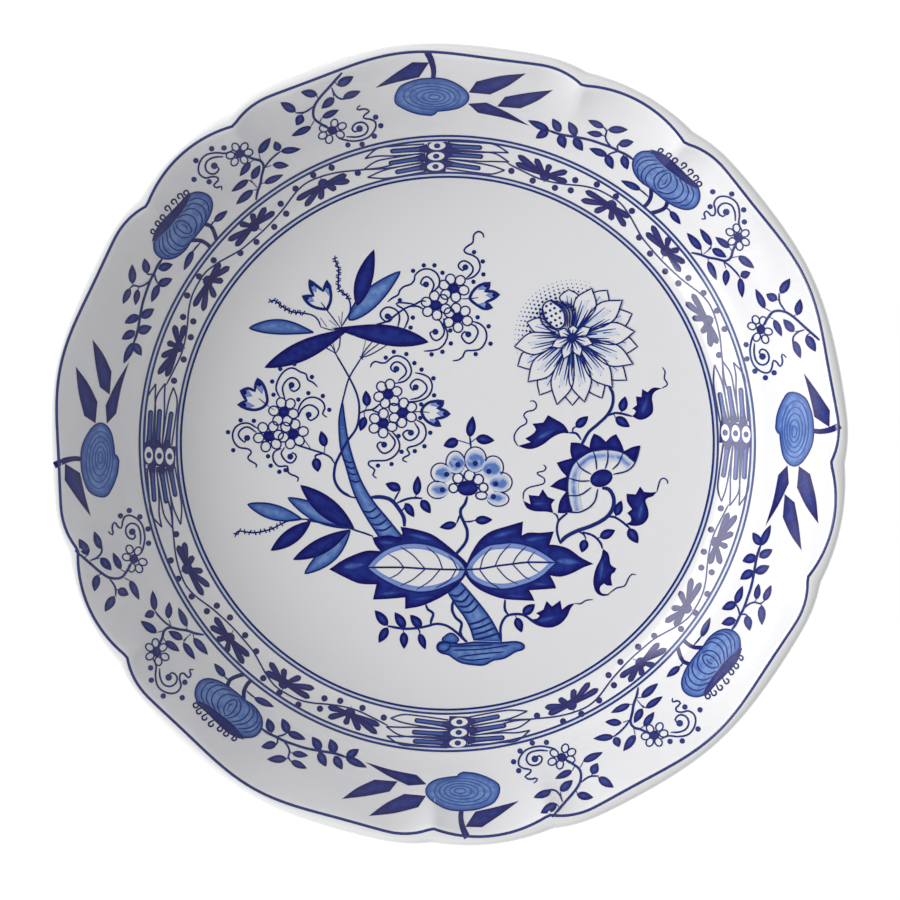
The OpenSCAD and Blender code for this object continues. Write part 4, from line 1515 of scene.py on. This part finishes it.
tulipHearts = [((28, -54.9), (34.2, -53.3), 1.9), ((48.2, -35.8), (47.4, -42.6), 1.9),
               ((60.3, 9.6), (62.2, 14.6), 1.9), ((27.5, 1.6), (33.8, 5), 2),
               ((26.4, -18.4), (31, -18.2), 1.5), ((59.4, -23.4), (60.6, -17.4), 2)]
darkTulips = [
    {"body": [[(25, -54.2), (27.3, -55.8), (30, -56.7), (32.7, -56.7), (35.4, -55.4), (37.3, -53.1),
               (38.3, -50.8), (39.6, -49.2)], [(37.7, -49.6), (35.6, -51.2)], [(35.1, -48.3)],
              [(32.5, -50.2)], [(30.8, -48.5)], [(29.8, -51.2)], [(27.5, -52.3)], [(28.7, -53.1)],
              [(27.7, -54), (25, -54.2)]],
     "tail": [(39.6, -49.2), (41.2, -49.4), (43.1, -48.3), (45.2, -48.1)]},
    {"body": [[(48.3, -32.3), (50, -33.8), (50.6, -36.9), (51.2, -37.7), (52.5, -38.3)],
              [(51.9, -39.6), (51, -40.2), (50.8, -41.5)], [(51.2, -43.7)],
              [(49.6, -43.7), (48.7, -43.1)],
              [(47.7, -43.8), (47.3, -45), (48.1, -46.2), (50, -46.3)],
              [(50.4, -46.5), (48.5, -47), (46.5, -46.2), (45.4, -43.8), (45.4, -41.2),
               (46.2, -38.1), (47.7, -35), (48.3, -32.3)]],
     "tail": [(50, -46.3), (51.5, -45.2), (52.7, -44.4), (55, -43.8), (56.2, -41.5), (57.3, -40.2),
              (58.5, -40.4)]},
    {"body": [[(57.3, 8.8), (59.6, 7.7), (61.9, 8.3), (63.7, 10), (63.8, 12.3), (63.5, 14.6),
               (64.2, 16.3), (66.5, 17.5)], [(63.8, 17.7), (62.1, 16.3)], [(60.4, 17.3)],
              [(60.2, 14.8)], [(58.5, 15)], [(58.8, 12.3)], [(57.3, 11.2)],
              [(58.5, 10.4), (57.3, 8.8)]],
     "tail": [(66.5, 17.5), (68.3, 18.8), (67.3, 20.4), (67.5, 22.7), (66.7, 24)]},
    {"body": [[(55.2, -24.6), (57.7, -25.2), (60.4, -24.8), (62.3, -22.7), (62.3, -20),
               (61.5, -17.3), (62.3, -16.5), (63.8, -16), (65, -14.6)],
              [(63.1, -14.8), (61, -14.6)], [(59.8, -12.9)], [(58.5, -15.4)], [(55.6, -15.2)],
              [(55.8, -17.7), (57.3, -20)], [(55.8, -21.2)],
              [(56.9, -22.5), (56.9, -23.8), (55.2, -24.6)]],
     "tail": [(65, -14.6), (65.6, -12.3), (66.2, -10.8), (67.3, -10.4), (68.3, -11.3),
              (68.3, -12.2)]},
    {"body": [[(37.9, 3.5), (36.2, 6.2), (33.5, 7.9)], [(31.2, 9.2)], [(29.8, 6.9)], [(26.3, 6.5)],
              [(27.5, 4.6), (26.2, 3.1)], [(24.2, 1.9)], [(25.8, 0.8)], [(21.9, -0.4)],
              [(24.6, -1.3), (26.9, -1.2), (29.6, 0), (32.7, 2.3), (35.4, 3.5), (37.9, 3.5)]],
     "tail": [(21.9, -0.4), (20.8, 1.5), (21, 3.5), (22.7, 5.6), (24.4, 6.5), (24.6, 7.7),
              (23.7, 9), (24.6, 10.2), (26.9, 10.8), (27.7, 12.1), (26.9, 13.5), (25.6, 13.5)]},
    {"body": [[(32.9, -21.2), (30.8, -20.8), (26.9, -20.6), (24.6, -19.6), (23.5, -17.3)],
              [(25.8, -18.5)], [(25.2, -15.6)], [(28.4, -15.9)], [(29.6, -13.8)], [(31.2, -16.2)],
              [(33.5, -17.1)], [(32.3, -18.5), (32.7, -20.4), (32.9, -21.2)]],
     "tail": [(23.5, -17), (23.8, -14.6), (25.4, -13.3), (27.7, -12.7), (29.8, -12.1),
              (30.2, -11.5), (30, -10.4), (28.3, -9.4), (27.9, -8.7), (30, -8.1), (30.6, -7.1),
              (29.8, -6.2)]},
]
rightStems = {
    "stems": [
        ([(48, -13.5), (50, -13.8), (51.5, -16.2), (51.5, -19.2), (50, -21.9), (47.7, -23.7),
          (44.2, -25.4), (40.4, -26.7), (36.5, -28.8), (35, -30.6)], 1),
        ([(37.3, -21.2), (35.4, -22.7), (34.4, -23.8), (34, -26.5), (34.6, -29.2), (35.2, -30.8)],
         0.6), ([(41.9, -27.1), (45, -28.1), (46.5, -29.2), (47.7, -30.8), (48.1, -32.3)], 0.6),
        ([(40.6, -26.9), (42.4, -27.9), (43, -29.4)], 0.5),
        ([(49.6, -22.3), (51.9, -22.5), (54.6, -24.2), (56.9, -26.2)], 0.6),
        ([(54.6, -24.2), (55.2, -24.4)], 0.5), ([(52, -22.6), (52.3, -21.6)], 0.45),
        ([(46.4, -29.1), (47.3, -28.8)], 0.45), ([(32.9, -21.2), (34, -22), (34.4, -23.5)], 0.5),
        ([(50, 18.5), (51.3, 15.8), (51.2, 12.3), (49.6, 9.2), (46.5, 6.2), (43.8, 3.8),
          (42.1, 0.8), (41.2, -0.8)], 0.8),
        ([(49.6, 8.9), (51.9, 9.8), (54.2, 9.6), (57.3, 8.8)], 0.6),
        ([(37.9, 3.7), (40, 3.5), (41.5, 1.5)], 0.6), ([(38.8, 3.8), (39, 5), (39.8, 5.6)], 0.45),
        ([(53.6, 9.7), (54, 10.4)], 0.45), ([(51.5, 9.6), (52.1, 8.5)], 0.45),
    ],
    "leaves": [
        ((42.9, -29.4), (41.7, -33.5), 2.9), ((47.3, -28.8), (52.1, -26.5), 3),
        ((56.2, -26), (59.2, -30.6), 3.3), ((52.3, -22.1), (54, -17.3), 2.8),
        ((39.8, 5.4), (43.7, 8.8), 2.9), ((54, 10.2), (55.2, 15), 2.9),
        ((52.1, 8.5), (56.6, 5.5), 3),
    ],
}
fanFlower = {
    "outerWidth": 0.55, "innerWidth": 2.9, "rayWidth": 0.5, "hub": (47.8, -10.4),
    "hubSize": (3.6, 2.7), "turn": 20,
    "outer": [
        (58.1, -5.4), (55, -2.7), (51.9, -1.7), (48.8, -1.5), (45.8, -1.9), (43.1, -3.1),
        (40.4, -4.8), (38.5, -7.3), (37.5, -10.4), (37.3, -14.2), (37.9, -18.1), (38.8, -20.8),
    ],
    "inner": [
        (56.5, -6.5), (53.8, -4.2), (51.5, -3.7), (48.1, -3.5), (45, -3.8), (42.3, -5.4),
        (40.4, -7.3), (39.4, -10.4), (39.2, -14.2), (39.8, -17.3), (40.4, -20.4),
    ],
    "rays": [
        [(51.5, -9.2), (55.8, -8.1), (58.1, -5.8), (59.8, -0.4)],
        [(51.2, -7.7), (53.1, -5.8), (54.6, -2.3)], [(49, -7.5), (49.8, -4.6), (49.8, -1.5)],
        [(46.3, -7.7), (46, -4.2), (45.2, -1.9)], [(44.6, -9.2), (41.5, -7.3), (40, -5)],
        [(44.2, -11.2), (41.2, -11.3), (37.7, -10.4)],
        [(44.6, -13.3), (41.2, -15.6), (37.3, -15.8)],
        [(46.7, -13.7), (45.4, -18.1), (41.5, -20.8), (37.7, -21)],
    ],
    "teeth": [
        [(58.1, -5.4)], [(59, -3), (59.9, -0.2)], [(57.4, -0.7), (54.9, -2)],
        [(53.9, 0.6), (52.4, 3.3)], [(50.6, 2.4), (49.2, 0.9)], [(47.4, 2.6), (45.4, 3.5)],
        [(44.4, 1.2), (44.1, -0.9)], [(41.2, 0.5), (38.3, 0.7)], [(38.1, -1.8), (38.6, -4.2)],
        [(36.4, -4.8), (33.9, -5.6)], [(35.3, -8), (37, -9.9)], [(34.4, -11), (31.8, -13)],
        [(34.6, -13.9), (36.8, -14.6)], [(34.9, -17.4), (34.2, -21.2)],
        [(36.4, -21.3), (38.8, -20.8)],
    ],
}


def paintFan(art, s):
    stroke(art, s["outer"], s["outerWidth"])
    stroke(art, s["inner"], s["innerWidth"], "fade", (1, 1))
    for ray in s["rays"]:
        stroke(art, ray, s["rayWidth"], "top")
    fill(art, s["teeth"] + [s["outer"][::-1]])
    spot(art, s["hub"], s["hubSize"][0], "dark", s["hubSize"][1] / s["hubSize"][0], s["turn"])


tulipTail = 0.45


def paintTulips(art):
    for tulip in darkTulips:
        fill(art, tulip["body"])
        stroke(art, tulip["tail"], tulipTail)
    for base, tip, width in tulipHearts:
        leaf(art, base, tip, width, "glow")


peony = {
    "centre": (38.7, 33.3),
    "inner": [
        (44.3, 36.2), (45, 31.3), (41.2, 27.4), (36, 26.6), (32.4, 30.4), (34.4, 35.4), (39.2, 37),
    ],
    "backTips": [
        (37.6, 48.1), (49.6, 47.9), (57.3, 40.6), (59, 30.4), (55.6, 20), (48, 14.4), (38.8, 12.2),
        (28.6, 15.4), (21.8, 24.4),
    ],
    "tips": [
        (44.8, 48.5), (54.3, 44.8), (58.1, 35.1), (57.6, 25), (51.2, 17.8), (42.5, 13.2),
        (34, 12.4), (25, 19.5), (20.8, 30.4),
    ],
    "sidePetal": ((-1, 1), (24.6, 38)), "globe": (33, 40.3), "globeSize": (3.2, 4.6),
    "globeTurn": 28, "globeDots": (5, 4), "dotPitch": (1.55, 1.7), "dotStagger": 0.4,
    "dotsWithin": (2.9, 4.4), "dot": 0.42,
    "hairs": [
        [(29.4, 42.6), (30.6, 38.6), (34.6, 35)], [(28.6, 41.4), (29.4, 37.8), (33.6, 34.2)],
    ],
    "hairWidths": (0.6, 0.5), "haloRows": 6, "haloStart": 12, "haloStep": 1.15, "haloFrom": 70,
    "haloSpan": 138, "haloPitch": 1.5, "haloDot": 0.5, "haloShrink": 0.055, "haloFade": 0.1,
    "layer": 0.16,
    "tuft": 5, "edge": 0.5, "middle": 1.4,
    "tuftHair": [  # each point of the first hair, and its step to the next hair
        ((31.8, 44.8), (1.2, -0.1)), ((35.8, 41.6), (0.95, 0)), ((36.6, 36.6), (0.6, 0)),
    ],
}
petalKinds = {
    "back": {"start": 9, "half": 2.9, "marks": 4, "edge": 0.44},
    "side": {"start": 4, "half": 2.3, "marks": 4, "edge": 0.44},
    "front": {"start": 3, "half": 3.3, "marks": 6, "edge": 0.44},
    "inner": {"start": 0.5, "half": 1.45, "marks": 3, "edge": 0.42},
}


petalShape = {
    "foot": 0.3, "lowAt": 0.33, "low": 0.8, "highAt": 0.66,
    "shadeTo": 0.68, "shade": (0.8, 1.5), "markFoot": 0.26, "markHead": 0.72, "markBend": 0.06,
    "reach": 0.74, "shorter": 0.14, "markWidth": (0.6, 0.34), "step": 1.2,
}


def petal(art, centre, tip, s):
    # one pointed petal on white ground, with dark tapered marks rising from its base
    p = petalShape
    centre, tip = Vector(centre), Vector(tip)
    half, marks = s["half"], s["marks"]
    along = (tip - centre).normalized()
    side = Vector((-along.y, along.x))
    base = centre + along * s["start"]
    length = (tip - base).length
    foot = side * half * p["foot"]
    low, high = base + along * length * p["lowAt"], base + along * length * p["highAt"]
    left = [base + foot, low + side * half * p["low"], high + side * half, tip]
    right = [tip, high - side * half, low - side * half * p["low"], base - foot]
    edge = smoothPath(left, 0.8)[:-1] + smoothPath(right, 0.8)
    flatFill(art, edge, "white")
    art["strokes"]["top"].append([(x, y, s["edge"] / 2) for x, y in edge])
    shade = [tuple(base), tuple(base + along * length * p["shadeTo"])]
    stroke(art, shade, tuple(half * w for w in p["shade"]), "tint", (0.6, 0.3), p["step"])
    for k in range(marks):
        spread = (k - (marks - 1) / 2) / max(1, (marks - 1) / 2)
        reach = length * (p["reach"] - p["shorter"] * abs(spread) - p["shorter"] * (k % 2))
        a = base + side * half * p["markFoot"] * spread
        b = base + along * reach + side * half * p["markHead"] * spread
        waist = (a + b) / 2 + side * half * p["markBend"] * spread
        mark = [tuple(a), tuple(waist), tuple(b)]
        stroke(art, mark, p["markWidth"], "top" if k % 2 else "overlay", (1, 0.5), p["step"])


def paintHalo(art, s):
    # dots behind the flower, fading outward
    for row in range(s["haloRows"]):
        radius = s["haloStart"] + s["haloStep"] * row
        count = round(radius * math.radians(s["haloSpan"]) / s["haloPitch"])
        for k in range(count):
            a = math.radians(s["haloFrom"] + s["haloSpan"] * (k + 0.5 * (row % 2)) / count)
            place = (s["centre"][0] + radius * math.cos(a), s["centre"][1] + radius * math.sin(a))
            edge = abs((k + 0.5) / count - 0.5) * 2
            ink = "line" if row < 3 and edge < 0.8 else "mid" if row < 5 else "pale"
            spot(art, place, s["haloDot"] - s["haloShrink"] * row - s["haloFade"] * edge, ink)


def paintGlobe(art, s):
    # the dotted seed head, with hairs across it
    gx, gy = s["globe"]
    globe = circlePoints(s["globe"], s["globeSize"][1], 14, s["globeSize"][0] / s["globeSize"][1],
                         90 + s["globeTurn"])
    flatFill(art, smoothPath(globe, 0.9, closed=True), "white")
    loop(art, globe, s["edge"], "top")
    a = math.radians(s["globeTurn"])
    rows, columns = s["globeDots"]
    for row in range(rows):
        for k in range(columns):
            x = (k - (columns - 1) / 2) * s["dotPitch"][0] + s["dotStagger"] * (row % 2)
            y = (row - (rows - 1) / 2) * s["dotPitch"][1]
            if (x / s["dotsWithin"][0]) ** 2 + (y / s["dotsWithin"][1]) ** 2 < 1:
                place = (gx + x * math.cos(a) - y * math.sin(a), gy + x * math.sin(a) + y * math.cos(a))
                spot(art, place, s["dot"], "top")
    for k in range(s["tuft"]):
        hair = [(x + dx * k, y + dy * k) for (x, y), (dx, dy) in s["tuftHair"]]
        stroke(art, hair, s["edge"], "top")
    for hair, width in zip(s["hairs"], s["hairWidths"]):
        stroke(art, hair, width, "top")


def paintPeony(s):
    cx, cy = s["centre"]
    art = newDrawing()
    paintHalo(art, s)
    for tip in s["backTips"]:
        petal(art, (cx, cy), tip, petalKinds["back"])
    (dx, dy), tip = s["sidePetal"]
    petal(art, (cx + dx, cy + dy), tip, petalKinds["side"])
    layInWell("peony_back_petals", art)
    art = newDrawing()
    for tip in s["tips"]:
        petal(art, (cx, cy), tip, petalKinds["front"])
    layInWell("peony_front_petals", art, s["layer"])
    art = newDrawing()
    paintGlobe(art, s)
    layInWell("peony_heart", art, s["layer"] * 2)
    art = newDrawing()
    for tip in s["inner"]:
        petal(art, (cx, cy), tip, petalKinds["inner"])
    spot(art, (cx, cy), s["middle"], "top")
    layInWell("peony_middle", art, s["layer"] * 3)


wellShift = (0, -0.4)


def layInWell(name, art, raised=0):
    layOnGlaze(drawingToMesh(name, art, nib, raised), wellShift)


def paintWell():
    groups = {"daisies_top": topDaisies, "daisies_centre": centreDaisies, "daisies_left": leftDaisies}
    for name, group in groups.items():
        art = newDrawing()
        curlGroup(art, group)
        layInWell(name, art)
    art = newDrawing()
    paintSpray(art, leafSpray)
    layInWell("leaf_spray", art)
    art = newDrawing()
    paintLeftTrunk(art, leftTrunk)
    paintTrunk(art, mainTrunk)
    paintRock(art, rock)
    layInWell("trunks_and_rock", art)
    art = newDrawing()
    for bigLeaf in (bigLeft, bigRight):
        paintBigLeaf(art, bigLeaf)
    layInWell("big_leaves", art)
    art = newDrawing()
    paintRoundFlower(art, roundFlower)
    for group in (sprigs, rightStems):
        paintStems(art, group)
    for group in (sprigs, rightStems):
        leaves(art, group["leaves"])
    layInWell("round_flower_and_sprigs", art)
    art = newDrawing()
    paintFan(art, fanFlower)
    paintTulips(art)
    layInWell("fan_flower_and_tulips", art)
    paintPeony(peony)


paintWell()
print("well painted")


stageSize = {
    "cameraAt": (0.00087, 0.022, 1.45), "tilt": -0.96, "lens": 180.3,
    "floor": 12, "paper": (0.2, 0.2, 0.2, 1), "paperGlow": 0.88, "paperRoughness": 0.9,
    "zenith": 0.86, "horizon": 0.56, "levelHeights": (0.45, 0.85),
    "ceiling": 0.1, "patchHeights": (0.87, 0.95),
    "softboxAt": (-1.4, 0.1, 0.8), "softboxSize": (2.6, 1.1), "softboxPower": 35,
}


def areaLight(name, place, size, power):
    light = bpy.data.lights.new(name, 'AREA')
    light.shape = 'RECTANGLE'
    light.size, light.size_y = size
    light.energy = power
    item = bpy.data.objects.new(name, light)
    scene.collection.objects.link(item)
    item.location = place
    item.rotation_euler = (-Vector(place)).to_track_quat('-Z', 'Y').to_euler()
    return item


def setStage(s):
    camera = bpy.data.objects.new("camera", bpy.data.cameras.new("camera"))
    scene.collection.objects.link(camera)
    camera.location = s["cameraAt"]
    camera.rotation_euler = (math.radians(s["tilt"]), 0, 0)
    camera.data.lens = s["lens"]
    scene.camera = camera
    bpy.ops.mesh.primitive_plane_add(size=s["floor"], location=(0, 0, 0))
    floor = bpy.context.active_object
    floor.name = "floor"
    material, tree, shader = startMaterial("paper")
    shader.inputs['Base Color'].default_value = s["paper"]
    shader.inputs['Roughness'].default_value = s["paperRoughness"]
    shader.inputs['Emission Color'].default_value = (1, 1, 1, 1)
    shader.inputs['Emission Strength'].default_value = s["paperGlow"]
    floor.data.materials.append(material)
    areaLight("softbox", s["softboxAt"], s["softboxSize"], s["softboxPower"])
    # a pale room with a dark patch of ceiling straight above, so that the well mirrors little
    world = bpy.data.worlds.new("studio")
    world.use_nodes = True
    tree = world.node_tree
    place = addNode(tree, 'ShaderNodeTexCoord', (-700, 0))
    split = addNode(tree, 'ShaderNodeSeparateXYZ', (-500, 0))
    tree.links.new(place.outputs['Generated'], split.inputs['Vector'])
    level = rangeNode(tree, split.outputs['Z'], (-300, 0), s["levelHeights"], (s["horizon"], s["zenith"]))
    patch = rangeNode(tree, split.outputs['Z'], (-300, -300), s["patchHeights"], (1, s["ceiling"]))
    shade = addNode(tree, 'ShaderNodeMath', (-100, 0), operation='MULTIPLY')
    tree.links.new(level.outputs['Result'], shade.inputs[0])
    tree.links.new(patch.outputs['Result'], shade.inputs[1])
    tree.links.new(shade.outputs['Value'], tree.nodes['Background'].inputs['Strength'])
    tree.nodes['Background'].inputs['Color'].default_value = (1, 1, 1, 1)
    scene.world = world
    scene.view_settings.view_transform = 'Standard'


setStage(stageSize)
